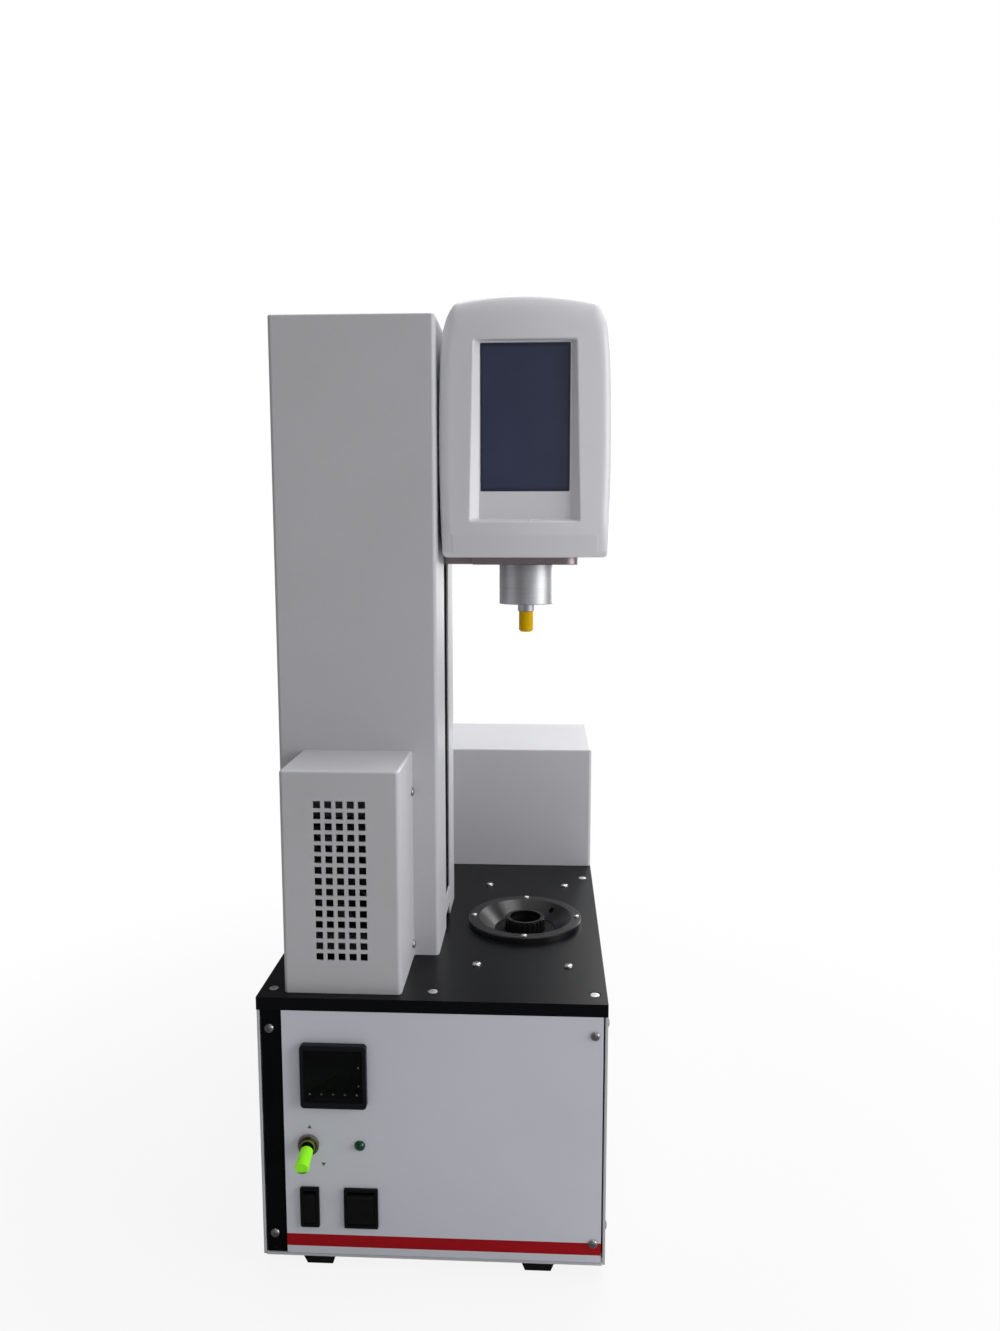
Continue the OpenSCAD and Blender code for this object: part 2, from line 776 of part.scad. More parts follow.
module at_toggle() {
    translate([toggle_x, toggle_pivot_y, toggle_zz]) rotate([90 + toggle_throw, 0, 0]) children();
}

module toggle_lever() {
    color([0.75, 0.75, 0.76]) datum() at_toggle() {
        sphere(r = ball_r);
        cylinder(h = lever_len - 2, r = lever_r);
    }
}

module toggle_sleeve() {
    color([0.45, 0.95, 0.05]) datum() at_toggle() difference() {
        translate([0, 0, sleeve_start])
            cylinder(h = lever_len - sleeve_start, r1 = sleeve_r0, r2 = sleeve_r1);
        cylinder(h = lever_len - 2, r = lever_r);
    }
}

module indicator_lamp() {
    color([0.05, 0.35, 0.18]) datum() translate([lamp_x, 0, toggle_zz]) rotate([90, 0, 0]) {
        translate([0, 0, sheet_t]) cylinder(h = 1, r = lamp_r);
        translate([0, 0, -14]) cylinder(h = 14 + sheet_t + 0.5, r = lamp_r - 0.8);
        translate([0, 0, sheet_t + 1]) intersection() {
            translate([0, 0, -1.6]) sphere(r = lamp_r);
            cylinder(h = 4, r = lamp_r);
        }
    }
}

// Rocker switch: x0 is the left edge of its bezel
module rocker_case(x0, w) {
    z0 = rock_zz - rock_h / 2;
    z1 = rock_zz + rock_h / 2;
    difference() {
        union() {
            front_cut(-sheet_t - rock_bezel, -sheet_t) soft_rect([x0, z0], [x0 + w, z1], 1.2);
            span([x0 + rock_rim - 0.8, -sheet_t, z0 + rock_rim - 0.6],
                [x0 + w - rock_rim + 0.8, rock_deep, z1 - rock_rim + 0.6]);
            for (z = [-8, 0, 8]) span([x0 + w / 2 - 2.4, rock_deep, rock_zz + z - 0.4],
                [x0 + w / 2 + 2.4, rock_deep + 8, rock_zz + z + 0.4]);
        }
        span([x0 + rock_rim, -sheet_t - rock_bezel - eps, z0 + rock_rim],
            [x0 + w - rock_rim, rock_pivot_y + 9, z1 - rock_rim]);
        translate([x0 + rock_rim - 0.6, rock_pivot_y, rock_zz]) rotate([0, 90, 0])
            cylinder(h = w - 2 * rock_rim + 1.2, r = 1.2 + run);
    }
}

// The rocker rests with its lower half pressed in
module rocker(x0, w) {
    reach = rock_h / 2 - rock_rim - 1.2;
    face = rock_bezel + sheet_t + rock_pivot_y;
    translate([0, rock_pivot_y, rock_zz]) rotate([rock_throw, 0, 0]) {
        side_cut(x0 + rock_rim + fit, x0 + w - rock_rim - fit)
            polygon([[-face - 1.4, reach - 0.4], [-face + 0.2, 0], [-face - 1.4, 0.4 - reach],
                [-face, -reach], [0, -reach + 1], [3, -3], [3, 3], [0, reach - 1], [-face, reach]]);
        translate([x0 + rock_rim - 0.5, 0, 0]) rotate([0, 90, 0])
            cylinder(h = w - 2 * rock_rim + 1, r = 1.2);
    }
}

module small_rocker_case() {
    color([0.07, 0.07, 0.08]) datum() rocker_case(rock_s_x - rock_s_w / 2, rock_s_w);
}

module small_rocker() {
    color([0.10, 0.10, 0.11]) datum() rocker(rock_s_x - rock_s_w / 2, rock_s_w);
}

module large_rocker_case() {
    color([0.07, 0.07, 0.08]) datum() rocker_case(rock_l_x - rock_l_w / 2, rock_l_w);
}

module large_rocker() {
    color([0.10, 0.10, 0.11]) datum() rocker(rock_l_x - rock_l_w / 2, rock_l_w);
}

module inlet_outline(s) {
    translate([inlet_x - socket_w / 2 + s, inlet_z - socket_h / 2 + s])
        square([socket_w - 2 * s, socket_h - 2 * s]);
}

module power_inlet() {
    color([0.08, 0.08, 0.08]) datum() {
        difference() {
            union() {
                front_cut(base_d, base_d + inlet_flange)
                    soft_rect([inlet_x - inlet_w / 2, inlet_z - inlet_h / 2],
                        [inlet_x + inlet_w / 2, inlet_z + inlet_h / 2], 5);
                front_cut(base_d - socket_d, base_d) inlet_outline(0);
            }
            front_cut(base_d - socket_d + socket_floor, back_y + eps) inlet_outline(socket_wall);
        }
        for (i = [-1:1]) {
            x = inlet_x + i * pin_pitch;
            z = inlet_z + (i == 0 ? pin_w : 0);
            span([x - pin_w / 2, base_d - socket_d + socket_floor - 1, z - pin_h / 2],
                [x + pin_w / 2, base_d - pin_back, z + pin_h / 2]);
        }
    }
}

module power_supply() {
    x0 = -supply_w / 2;
    y0 = rear_y0 + (rear_box_d - supply_d) / 2;
    color("lightgray") datum() {
        difference() {
            span([x0, y0, top_z], [-x0, y0 + supply_d, top_z + supply_h]);
            span([x0 + 16, y0 + 1.2, top_z + 1.2], [1.2 - x0, y0 + supply_d - 1.2, top_z + supply_h - 1.2]);
            for (i = [0:9], j = [0:3]) post(x0 + 36 + i * 15, y0 + 20 + j * 19, top_z + supply_h - 2,
                top_z + supply_h + eps, 3);
        }
        span([x0 + 16, y0 + 1.2, top_z + 1.2], [x0 + 32, y0 + supply_d - 1.2, top_z + 20]);
    }
}

module driver_board() {
    z0 = pan_z + pan_t;
    z1 = z0 + board_lift;
    z2 = z1 + board_t;
    x0 = -half_w + base_w * 0.08;
    y0 = base_d / 2;
    color("darkgreen") datum() {
        for (x = [0.05, 0.95], y = [0.06, 0.94])
            post(x0 + x * board_w, y0 + y * board_d, z0, z1, board_d / 26);
        span([x0, y0, z1], [x0 + board_w, y0 + board_d, z2]);
        span([x0 + board_w * 0.14, y0 + board_d * 0.17, z2],
            [x0 + board_w * 0.34, y0 + board_d * 0.43, z2 + board_t * 1.5]);
        span([x0 + board_w * 0.48, y0 + board_d * 0.15, z2],
            [x0 + board_w * 0.78, y0 + board_d * 0.33, z2 + board_lift * 2]);
        for (i = [0:3]) post(x0 + (0.2 + i * 0.18) * board_w, y0 + board_d * 0.68,
            z2, z2 + board_lift * 2, board_d * 0.075);
    }
}

// Sample well, around the spindle's axis

module cooling_block() {
    w = block_w / 2;
    color([0.78, 0.79, 0.80]) datum() difference() {
        span([spin_x - w, spin_y - w, block_z0], [spin_x + w, spin_y + w, block_z1]);
        post(spin_x, spin_y, well_z0, block_z1 + eps, well_r);
        post(spin_x + probe_at.x, spin_y + probe_at.y, block_z1 - probe_deep, block_z1 + eps, probe_r + run);
    }
}

module block_insulation() {
    w = block_w / 2;
    color([0.15, 0.15, 0.16]) datum() difference() {
        span([spin_x - w - foam_t, spin_y - sink_y0, block_z0 - foam_t],
            [spin_x + w + foam_t, spin_y + sink_y0, block_z1]);
        span([spin_x - w, spin_y - w, block_z0], [spin_x + w, spin_y + w, block_z1 + eps]);
        for (z = module_zs) span([spin_x - module_w / 2, spin_y - sink_y0 - eps, z - module_w / 2],
            [spin_x + module_w / 2, spin_y + sink_y0 + eps, z + module_w / 2]);
    }
}

module cooling_modules() {
    color("white") datum() for (z = module_zs, y = [-1, 1]) {
        y0 = spin_y + (y > 0 ? block_w / 2 : -sink_y0);
        span([spin_x - module_w / 2, y0, z - module_w / 2],
            [spin_x + module_w / 2, y0 + module_t, z + module_w / 2]);
    }
}

module heat_sink() {
    w = sink_w / 2;
    gap = (sink_w - fin_t) / (fins - 1);
    difference() {
        union() {
            span([-w, sink_y0, sink_z0], [w, sink_y0 + sink_base, lid_z]);
            for (i = [0:fins - 1]) span([-w + i * gap, sink_y0, sink_z0],
                [-w + i * gap + fin_t, sink_y0 + sink_d, lid_z]);
            for (x = [-1, 1]) span([x * block_screw_dx - boss_w / 2, sink_y0 + sink_d - boss_w, lid_z - 20],
                [x * block_screw_dx + boss_w / 2, sink_y0 + sink_d, lid_z]);
        }
        for (x = [-1, 1]) post(x * block_screw_dx, block_screw_dy, lid_z - 12, lid_z + eps, shank_hole_r);
    }
}

module heat_sinks() {
    color([0.70, 0.71, 0.72]) datum() translate([spin_x, spin_y, 0]) {
        heat_sink();
        mirror([0, 1, 0]) heat_sink();
    }
}

module at_front_fan() {
    translate([spin_x, spin_y - sink_y0 - sink_d - fan_d, sink_fan_z]) children();
}

module at_rear_fan() {
    translate([spin_x, spin_y + sink_y0 + sink_d, sink_fan_z]) children();
}

module cooling_fan_frames() {
    color([0.09, 0.09, 0.10]) datum() {
        at_front_fan() fan_frame();
        at_rear_fan() fan_frame();
    }
}

module cooling_rotor_front() {
    color([0.12, 0.12, 0.13]) datum() at_front_fan() fan_rotor();
}

module cooling_rotor_rear() {
    color([0.12, 0.12, 0.13]) datum() at_rear_fan() fan_rotor();
}

module funnel_ring() {
    color([0.08, 0.08, 0.09]) datum() translate([spin_x, spin_y, 0]) difference() {
        rotate_extrude() polygon([
            [collar_hole_r, lid_z + 0.2], [funnel_body_r, lid_z + 0.2], [funnel_body_r, top_z],
            [ring_r, top_z], [ring_r, top_z + ring_t - 0.8], [ring_r - 0.8, top_z + ring_t],
            [mouth_r, top_z + ring_t], [floor_r, funnel_floor_z], [collar_hole_r, funnel_floor_z]]);
        for (a = [0:3]) rotate([0, 0, a * 90])
            post(ring_r - 4.4, 0, top_z - eps, top_z + ring_t + eps, 1.7);
        post(probe_at.x, probe_at.y, lid_z, top_z + ring_t + eps, probe_r + 0.3);
    }
}

module tube_collar() {
    color([0.05, 0.05, 0.06]) datum() translate([spin_x, spin_y, 0]) difference() {
        union() {
            post(0, 0, block_z1, collar_top, collar_r - 1.1);
            for (i = [0:collar_ribs - 1]) rotate([0, 0, i * 360 / collar_ribs])
                span([collar_r - 3, -rib_w / 2, block_z1 + 3], [collar_r - 0.1, rib_w / 2, collar_top - 0.8]);
        }
        post(0, 0, block_z1 - eps, collar_top + eps, collar_bore_r);
    }
}

module temperature_probe() {
    color("silver") datum()
        post(spin_x + probe_at.x, spin_y + probe_at.y, block_z1 - probe_deep, block_z1 - 2, probe_r);
}

// Column and lift

module column_ring(z0, z1) {
    translate([0, 0, z0]) linear_extrude(z1 - z0) difference() {
        soft_rect([col_x0, col_y], [col_x1, col_y1], bend_r);
        soft_rect([col_x0 + skin_t, col_y + skin_t], [col_x1 - skin_t, col_y1 - skin_t], bend_r - skin_t);
    }
}

module column_front_shell() {
    color([0.84, 0.85, 0.86]) datum() {
        difference() {
            column_ring(top_z, col_top - skin_t);
            span([col_x0 - eps, col_y1 - seam_y, top_z - eps], [col_x1 + eps, col_y1 + eps, col_top]);
            span([col_x1 - slot_cut, slot_y0, top_z + slot_z], [col_x1 + eps, slot_y1 + eps, slot_top]);
            span([col_x1 - slot_cut, slot_y0, top_z - eps], [col_x1 + eps, slot_y1 + eps, top_z + notch_h]);
            span([col_x1 - slot_cut, slot_y1, top_z - eps], [col_x1 + eps, col_y1 + eps, col_top]);
        }
        translate([0, 0, col_top - skin_t]) linear_extrude(skin_t)
            soft_rect([col_x0, col_y], [col_x1, col_y1], bend_r);
    }
}

module column_rear_shell() {
    color([0.80, 0.81, 0.83]) datum() intersection() {
        column_ring(top_z, col_top - skin_t);
        union() {
            span([col_x0 - eps, col_y1 - seam_y, top_z], [col_x1 + eps, col_y1 + eps, col_top]);
            span([col_x1 - slot_cut, slot_y1, top_z], [col_x1 + eps, col_y1 + eps, col_top]);
        }
    }
}

module lift_frame() {
    w = frame_w / 2;
    color([0.08, 0.08, 0.09]) datum() difference() {
        union() {
            for (z = [top_z, frame_top - frame_t]) span([lift_x - w, lift_y - frame_front, z],
                [lift_x + w, lift_y + frame_back, z + frame_t]);
            span([lift_x - w, lift_y + frame_back - spine_t, top_z],
                [lift_x + w, lift_y + frame_back, frame_top]);
        }
        for (x = [-1, 1]) post(lift_x + x * rod_pitch / 2, lift_y, top_z + 3, frame_top - 3, rod_r + run);
        post(lift_x, lift_y, top_z - eps, top_z + frame_t + eps, screw_r + 3);
        post(lift_x, lift_y, frame_top - frame_t - eps, frame_top + eps, journal_r + run);
    }
}

module guide_rods() {
    color([0.80, 0.81, 0.82]) datum() for (x = [-1, 1])
        post(lift_x + x * rod_pitch / 2, lift_y, top_z + 3, frame_top - 3, rod_r);
}

module lead_screw() {
    color([0.66, 0.67, 0.68]) datum() {
        post(lift_x, lift_y, lid_z - 30, frame_top - 1, journal_r);
        post(lift_x, lift_y, top_z + 2, frame_top - frame_t - 1, screw_r);
    }
}

module lift_motor() {
    color([0.12, 0.12, 0.13]) datum() difference() {
        union() {
            translate([0, 0, lid_z - motor_h]) linear_extrude(motor_h)
                soft_rect([lift_x - motor_w / 2, lift_y - motor_w / 2],
                    [lift_x + motor_w / 2, lift_y + motor_w / 2], 5);
            post(lift_x, lift_y, lid_z - motor_h - 6, lid_z - motor_h, 20);
        }
        post(lift_x, lift_y, lid_z - 32, lid_z + eps, journal_r + run);
    }
}

module carriage() {
    color([0.74, 0.75, 0.76]) datum() difference() {
        span([lift_x - car_w / 2, lift_y - car_front, car_z],
            [lift_x + car_w / 2, lift_y + car_back, car_z + car_h]);
        for (x = [-1, 1])
            post(lift_x + x * rod_pitch / 2, lift_y, car_z - eps, car_z + car_h + eps, rod_r + run);
        post(lift_x, lift_y, car_z - eps, car_z + car_h + eps, nut_barrel_r + run);
    }
}

module lift_nut() {
    color([0.72, 0.58, 0.28]) datum() difference() {
        union() {
            post(lift_x, lift_y, car_z - nut_flange_t, car_z + car_h - 20, nut_barrel_r);
            post(lift_x, lift_y, car_z - nut_flange_t, car_z, nut_flange_r);
        }
        post(lift_x, lift_y, car_z - nut_flange_t - eps, car_z + car_h, screw_r + run);
    }
}

module lift_arm() {
    x0 = lift_x + car_w / 2;
    z1 = plate_z1 + tongue_t;
    color([0.60, 0.58, 0.58]) datum() difference() {
        union() {
            span([x0, lift_y - car_front, plate_z0 - pad_drop],
                [x0 + pad_t, lift_y + car_back, plate_z1 + pad_rise]);
            span([x0, lift_y - arm_w / 2, plate_z0], [arm_end, lift_y + arm_w / 2, plate_z1]);
            span([arm_end - riser_t, lift_y - arm_w / 2, plate_z0], [arm_end, lift_y + arm_w / 2, z1]);
            span([arm_end - riser_t, lift_y - arm_w / 2, plate_z1], [spin_x, lift_y + arm_w / 2, z1]);
            span([spin_x - tongue_half, spin_y - tongue_w / 2, plate_z1],
                [spin_x + tongue_half, spin_y + tongue_w / 2, z1]);
        }
        post(spin_x, spin_y, plate_z0, z1 + eps, shaft_r + 3);
    }
}

// Boxes on the top plate

module fan_box_screw_spots() {
    for (z = fan_screw_zs) {
        translate([fan_x1, fan_screw_y, z]) rotate([0, 90, 0]) children();
        translate([fan_x0, fan_screw_y, z]) rotate([0, -90, 0]) children();
    }
}

module fan_box() {
    color([0.84, 0.85, 0.86]) datum() difference() {
        sheet_box(fan_x0, fan_box_y, fan_x1, col_y + 20, top_z + fan_box_h, skin_t);
        span([fan_x0 - eps, col_y, top_z - eps], [fan_x1 + eps, col_y + 30, top_z + fan_box_h + eps]);
        front_cut(fan_box_y - eps, fan_box_y + skin_t + eps)
            for (i = [0:vent_cols - 1], j = [0:vent_rows - 1])
                translate([fan_x + (i - (vent_cols - 1) / 2) * vent_pitch - vent_w / 2,
                    fan_z + (j - (vent_rows - 1) / 2) * vent_pitch - vent_w / 2]) square(vent_w);
        fan_box_screw_spots() translate([0, 0, -skin_t - eps])
            cylinder(h = skin_t + 2 * eps, r = shank_hole_r / cos(30), $fn = 6);
    }
}

module at_box_fan() {
    translate([fan_x, fan_box_y + skin_t, fan_z]) children();
}

module box_fan_frame() {
    color([0.09, 0.09, 0.10]) datum() at_box_fan() fan_frame();
}

module box_fan_rotor() {
    color([0.12, 0.12, 0.13]) datum() at_box_fan() fan_rotor();
}

module rear_box() {
    color([0.84, 0.85, 0.86]) datum() difference() {
        sheet_box(-half_w, rear_y0, half_w, base_d, top_z + rear_box_h, skin_t);
        for (i = [0:13], z = [top_z + 30, top_z + 68])
            span([-60 + i * 9, base_d - skin_t - eps, z], [-56.5 + i * 9, base_d + eps, z + 28]);
    }
}

// Head

// Half width of the head at a height above its underside
function head_half(h) = head_w / 2 - side_bow * pow((h - bow_h) / bow_h, 2);

// Outline of the head seen from the front, taken in by s
function head_outline(s) = let(
    corner = head_round - s,
    low = max(foot_round, s + 1),
    cz = head_h - crown - head_round,
    cx = head_half(cz) - head_round,
    side = [for (i = [0:8]) let(h = low + i * (cz - low) / 8) [head_half(h) - s, h]],
    turn = [for (a = [15:15:75]) [cx + corner * cos(a), cz + corner * sin(a)]],
    roof = [for (i = [0:3]) let(x = cx * (1 - i / 4)) [x, head_h - s - crown * pow(x / cx, 2)]],
    half = concat([[head_half(0) - low, s], [head_half(s) - s - 1, s + 0.9]], side, turn, roof)
) concat(half, [[0, head_h - s]], [for (i = [len(half) - 1:-1:0]) [-half[i].x, half[i].y]]);

module head_solid(y0, y1, s) {
    translate([spin_x, 0, head_z0]) front_cut(y0, y1) polygon(head_outline(s));
}

// Rolled edge between two outlines
module head_roll(y0, s0, y1, s1) {
    hull() {
        head_solid(y0, y0 + 0.1, s0);
        head_solid(y1 - 0.1, y1, s1);
    }
}

// Bevel along the foot of the head's front
module chin_cut() {
    side_cut(head_x0 - eps, head_x0 + head_w + eps) polygon([[head_y0 - eps, head_z0 - eps],
        [head_y0 + chin_d, head_z0 - eps], [head_y0 + chin_d, head_z0],
        [head_y0, head_z0 + chin_h], [head_y0 - eps, head_z0 + chin_h]]);
}

// Way through the head's floor for the arm
module head_floor_cut() {
    span([spin_x - tongue_half - 1.5, spin_y - tongue_w / 2 - 1.5, head_z0 - eps],
        [spin_x + tongue_half + 1.5, spin_y + tongue_w / 2 + 1.5, head_z0 + shell_t + eps]);
    span([arm_end - riser_t - fit, lift_y - arm_w / 2 - fit, head_z0 - eps],
        [spin_x, lift_y + arm_w / 2 + fit, head_z0 + shell_t + eps]);
}

module head_front_shell() {
    sx = screen_w / 2;
    color([0.88, 0.88, 0.89]) datum() difference() {
        union() {
            difference() {
                union() {
                    head_roll(head_y0, roll_w, head_y0 + roll_d, 0);
                    head_solid(head_y0 + roll_d, split_y, 0);
                }
                head_solid(head_y0 + shell_t + chin_d, head_y0 + roll_d + shell_t, roll_w + shell_t);
                head_solid(head_y0 + roll_d + shell_t, split_y + eps, shell_t);
            }
            span([spin_x - recess_half1 - 4, head_y0 + shell_t - eps, recess_z0 - 4],
                [spin_x + recess_half1 + 4, screen_y, recess_z1 + 4]);
        }
        hull() {
            front_cut(head_y0 - 0.2, head_y0) polygon([
                [spin_x - recess_half1, recess_z0], [spin_x + recess_half1, recess_z0],
                [spin_x + recess_half0, recess_z1], [spin_x - recess_half0, recess_z1]]);
            span([spin_x - sx, screen_y, screen_z0], [spin_x + sx, screen_y + 0.2, screen_z0 + screen_h]);
        }
        chin_cut();
        head_floor_cut();
    }
}

module head_rear_shell() {
    color([0.88, 0.88, 0.89]) datum() difference() {
        union() {
            head_solid(split_y, head_y1 - roll_d, 0);
            head_roll(head_y1 - roll_d, 0, head_y1, roll_d);
        }
        head_solid(split_y - eps, head_y1 - roll_d - shell_t, shell_t);
        head_floor_cut();
    }
}

module display_layer(y, t, lip) {
    span([spin_x - screen_w / 2 - lip, y, screen_z0 - lip],
        [spin_x + screen_w / 2 + lip, y + t, screen_z0 + screen_h + lip]);
}

module display_panel() {
    color([0.20, 0.22, 0.28]) datum() {
        display_layer(screen_y, glass_t, glass_lip);
        display_layer(screen_y + glass_t, case_t, case_lip);
    }
}

module head_base_plate() {
    color([0.62, 0.60, 0.60]) datum() difference() {
        translate([0, 0, plate_z0]) linear_extrude(plate_t) {
            soft_rect([plate_x0, spin_y - 38], [spin_x + plate_half, spin_y + 38], plate_round);
            translate([plate_x0, spin_y - 38]) square([plate_half, 76]);
        }
        post(spin_x, spin_y, plate_z0 - eps, plate_z1 + eps, shaft_r + 3);
    }
}

module spindle_guard() {
    color([0.72, 0.73, 0.75]) datum() difference() {
        post(spin_x, spin_y, guard_z, plate_z0, guard_r);
        post(spin_x, spin_y, guard_z + 5, plate_z0 + eps, guard_r - 4);
        post(spin_x, spin_y, guard_z - eps, plate_z0, shaft_r + run);
    }
}

module drive_motor() {
    z0 = plate_z1 + tongue_t;
    color([0.20, 0.20, 0.21]) datum() difference() {
        union() {
            post(spin_x, spin_y, z0, z0 + sensor_h, sensor_r);
            post(spin_x, spin_y, z0 + sensor_h, z0 + sensor_h + can_h, can_r);
        }
        post(spin_x, spin_y, z0 - eps, z0 + sensor_h - sensor_wall * 2, sensor_r - sensor_wall);
        post(spin_x, spin_y, z0, z0 + motor_bore, stem_r + run);
    }
}

module spindle_shaft() {
    z0 = plate_z1 + tongue_t;
    color([0.75, 0.76, 0.78]) datum() {
        post(spin_x, spin_y, hub_z, guard_z - fit, hub_r);
        post(spin_x, spin_y, hub_z, z0 + sensor_h * 0.6, shaft_r);
        post(spin_x, spin_y, z0 + sensor_h * 0.35, z0 + sensor_h * 0.45, sensor_r * 0.73);
        post(spin_x, spin_y, z0 + sensor_h * 0.6, z0 + motor_bore - 2, stem_r);
        post(spin_x, spin_y, cap_z + 4, hub_z, stub_r);
    }
}

module spindle_cap() {
    color([0.95, 0.75, 0.02]) datum() difference() {
        translate([spin_x, spin_y, 0]) rotate_extrude() polygon([
            [0, cap_z], [cap_r - 1.6, cap_z], [cap_r, cap_z + 1.6], [cap_r, hub_z - eps], [0, hub_z - eps]]);
        post(spin_x, spin_y, cap_z + 3.8, hub_z, stub_r + run);
    }
}

chassis();
front_panel();
front_sheet();
side_cover_left();
side_cover_right();
top_plate();
rear_panel();
feet();
pan_screws();
countersunk_screws();
ring_screws();
controller_case();
controller_key_1();
controller_key_2();
controller_key_3();
controller_key_4();
controller_key_5();
toggle_body();
toggle_nut();
toggle_lever();
toggle_sleeve();
indicator_lamp();
small_rocker_case();
small_rocker();
large_rocker_case();
large_rocker();
power_inlet();
power_supply();
driver_board();
cooling_block();
block_insulation();
cooling_modules();
heat_sinks();
cooling_fan_frames();
cooling_rotor_front();
cooling_rotor_rear();
funnel_ring();
tube_collar();
temperature_probe();
column_front_shell();
column_rear_shell();
lift_frame();
guide_rods();
lead_screw();
lift_motor();
carriage();
lift_nut();
lift_arm();
fan_box();
box_fan_frame();
box_fan_rotor();
rear_box();
head_front_shell();
head_rear_shell();
display_panel();
head_base_plate();
spindle_guard();
drive_motor();
spindle_shaft();
spindle_cap();
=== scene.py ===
"""Looks of a bench rotational viscometer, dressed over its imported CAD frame.

Every operator below makes one piece or one group of like pieces, and the last one makes the stage.
"""

from math import cos, pi, radians, sin

import bpy
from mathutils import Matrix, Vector


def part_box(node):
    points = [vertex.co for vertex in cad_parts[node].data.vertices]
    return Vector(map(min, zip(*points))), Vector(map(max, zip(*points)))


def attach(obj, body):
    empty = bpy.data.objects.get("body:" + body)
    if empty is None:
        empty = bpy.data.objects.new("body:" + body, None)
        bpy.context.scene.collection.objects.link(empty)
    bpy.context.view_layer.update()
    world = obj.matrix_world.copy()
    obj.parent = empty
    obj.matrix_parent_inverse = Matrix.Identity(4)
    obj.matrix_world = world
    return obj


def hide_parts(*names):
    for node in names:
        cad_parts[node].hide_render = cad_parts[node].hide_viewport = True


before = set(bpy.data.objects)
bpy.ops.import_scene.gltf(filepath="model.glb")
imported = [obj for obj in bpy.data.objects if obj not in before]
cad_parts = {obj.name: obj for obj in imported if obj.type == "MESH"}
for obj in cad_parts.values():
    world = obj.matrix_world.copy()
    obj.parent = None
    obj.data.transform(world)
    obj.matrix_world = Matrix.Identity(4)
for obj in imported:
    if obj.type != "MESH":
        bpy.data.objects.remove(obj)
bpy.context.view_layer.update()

bl_info = {
    "name": "Bench rotational viscometer",
    "version": (1, 0, 0),
    "blender": (4, 5, 0),
    "location": "View3D > Sidebar > Viscometer",
    "description": "Builds the visible pieces and finishes of a bench viscometer",
    "category": "Object",
}

MM = 0.001
PANEL_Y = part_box("front_panel")[0].y  # the front panel's plane
TOP_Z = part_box("top_plate")[1].z
SPIN = (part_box("spindle_guard")[0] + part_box("spindle_guard")[1]) / 2  # on the spindle's axis
CABINET_HALF, CABINET_DEPTH, SHEET_THICK = 126, 437, 0.8  # in millimetres, like the screws' places
FRONT_SCREW_X, SIDE_SCREW_IN, BOX_SCREW_IN = 117, 20, 70
PAN_RIM = 0.0172  # the floor pan is coated below it; above it its posts are black, painted shade in the gaps beside the panels
STRIPE_FOOT, STRIPE_TOP = 0.018, 0.0276  # the coloured band on the front sheet
LIT_HALF_WIDE, LIT_HALF_TALL = 0.0318, 0.0516  # the display's lit field


# Values that a user would change


def a_colour(name, description, default):
    return bpy.props.FloatVectorProperty(
        name=name, description=description, subtype="COLOR", size=3, min=0, max=1, default=default)


def a_length(name, description, low, high, default):
    return bpy.props.FloatProperty(
        name=name, description=description, unit="LENGTH", min=low, max=high, default=default)


def a_power(name, description, default):
    return bpy.props.FloatProperty(name=name, description=description, unit="POWER", default=default)


class ViscometerFinishes(bpy.types.PropertyGroup):
    """Colours of the finishes"""

    coat: a_colour("Powder coat", "Column, boxes and side covers", (0.545, 0.545, 0.572))
    panel: a_colour("Front sheet", "Ground of the printed front sheet", (0.645, 0.655, 0.72))
    stripe: a_colour("Stripe", "Band along the foot of the front sheet", (0.40, 0.002, 0.008))
    black: a_colour("Black plate", "Top plate and front panel", (0.0030, 0.0033, 0.0043))
    head: a_colour("Head plastic", "Moulded shells of the measuring head", (0.73, 0.728, 0.762))
    sleeve: a_colour("Toggle sleeve", "Soft sleeve on the toggle lever", (0.26, 0.82, 0.01))
    cap: a_colour("Spindle cap", "Protective cap under the spindle", (0.71, 0.425, 0.0015))
    lens: a_colour("Lamp lens", "Lens of the indicator lamp, unlit", (0.003, 0.045, 0.026))


class ViscometerShapes(bpy.types.PropertyGroup):
    """Sizes of the dressed details"""

    fold: a_length("Sheet fold", "Rounding of the folded top edges", 0.0005, 0.0029, 0.0022)
    break_edge: a_length("Broken edge", "Small chamfer on machined edges", 0.0001, 0.001, 0.0005)
    head_side: a_length("Head side roll", "Width of the roll along the head's sides", 0.004, 0.02, 0.0075)
    head_drop: a_length("Head roll depth", "How far the roll falls back", 0.002, 0.012, 0.006)
    crown: a_length("Head crown", "How far the head's front falls back towards its sides", 0.0, 0.008, 0.005)
    chin: a_length("Chin height", "Height of the bevel at the head's foot", 0.008, 0.024, 0.0164)


class ViscometerStage(bpy.types.PropertyGroup):
    """Camera, lamps and floor"""

    eye: bpy.props.FloatVectorProperty(
        name="Camera place", description="Where the camera stands", subtype="TRANSLATION",
        unit="LENGTH", size=3, default=(0.0809, -0.8660, 0.5321))
    pan: bpy.props.FloatProperty(
        name="Camera pan", description="Turn to the left", subtype="ANGLE", default=radians(2.749))
    tilt: bpy.props.FloatProperty(
        name="Camera tilt", description="Turn downwards", subtype="ANGLE", default=radians(7.041))
    lens: bpy.props.FloatProperty(
        name="Lens", description="Focal length for a 36 mm long side", subtype="DISTANCE_CAMERA",
        default=26.447)
    key: a_power("Top lamp", "Power of the large lamp overhead", 43.0)
    side: a_power("Side lamp", "Power of the lamp on the right", 24.0)
    front: a_power("Front lamp", "Power of the weak lamp in front", 3.0)
    back: a_power("Back lamp", "Power of the lamp behind on the right", 5.5)
    sky: bpy.props.FloatProperty(
        name="Surround", description="Strength of the even surround", min=0, max=2, default=0.27)
    gleam: bpy.props.FloatProperty(
        name="Reflected surround", description="How bright the surround is in reflections",
        min=0, max=2, default=0.13)


# Shader nodes


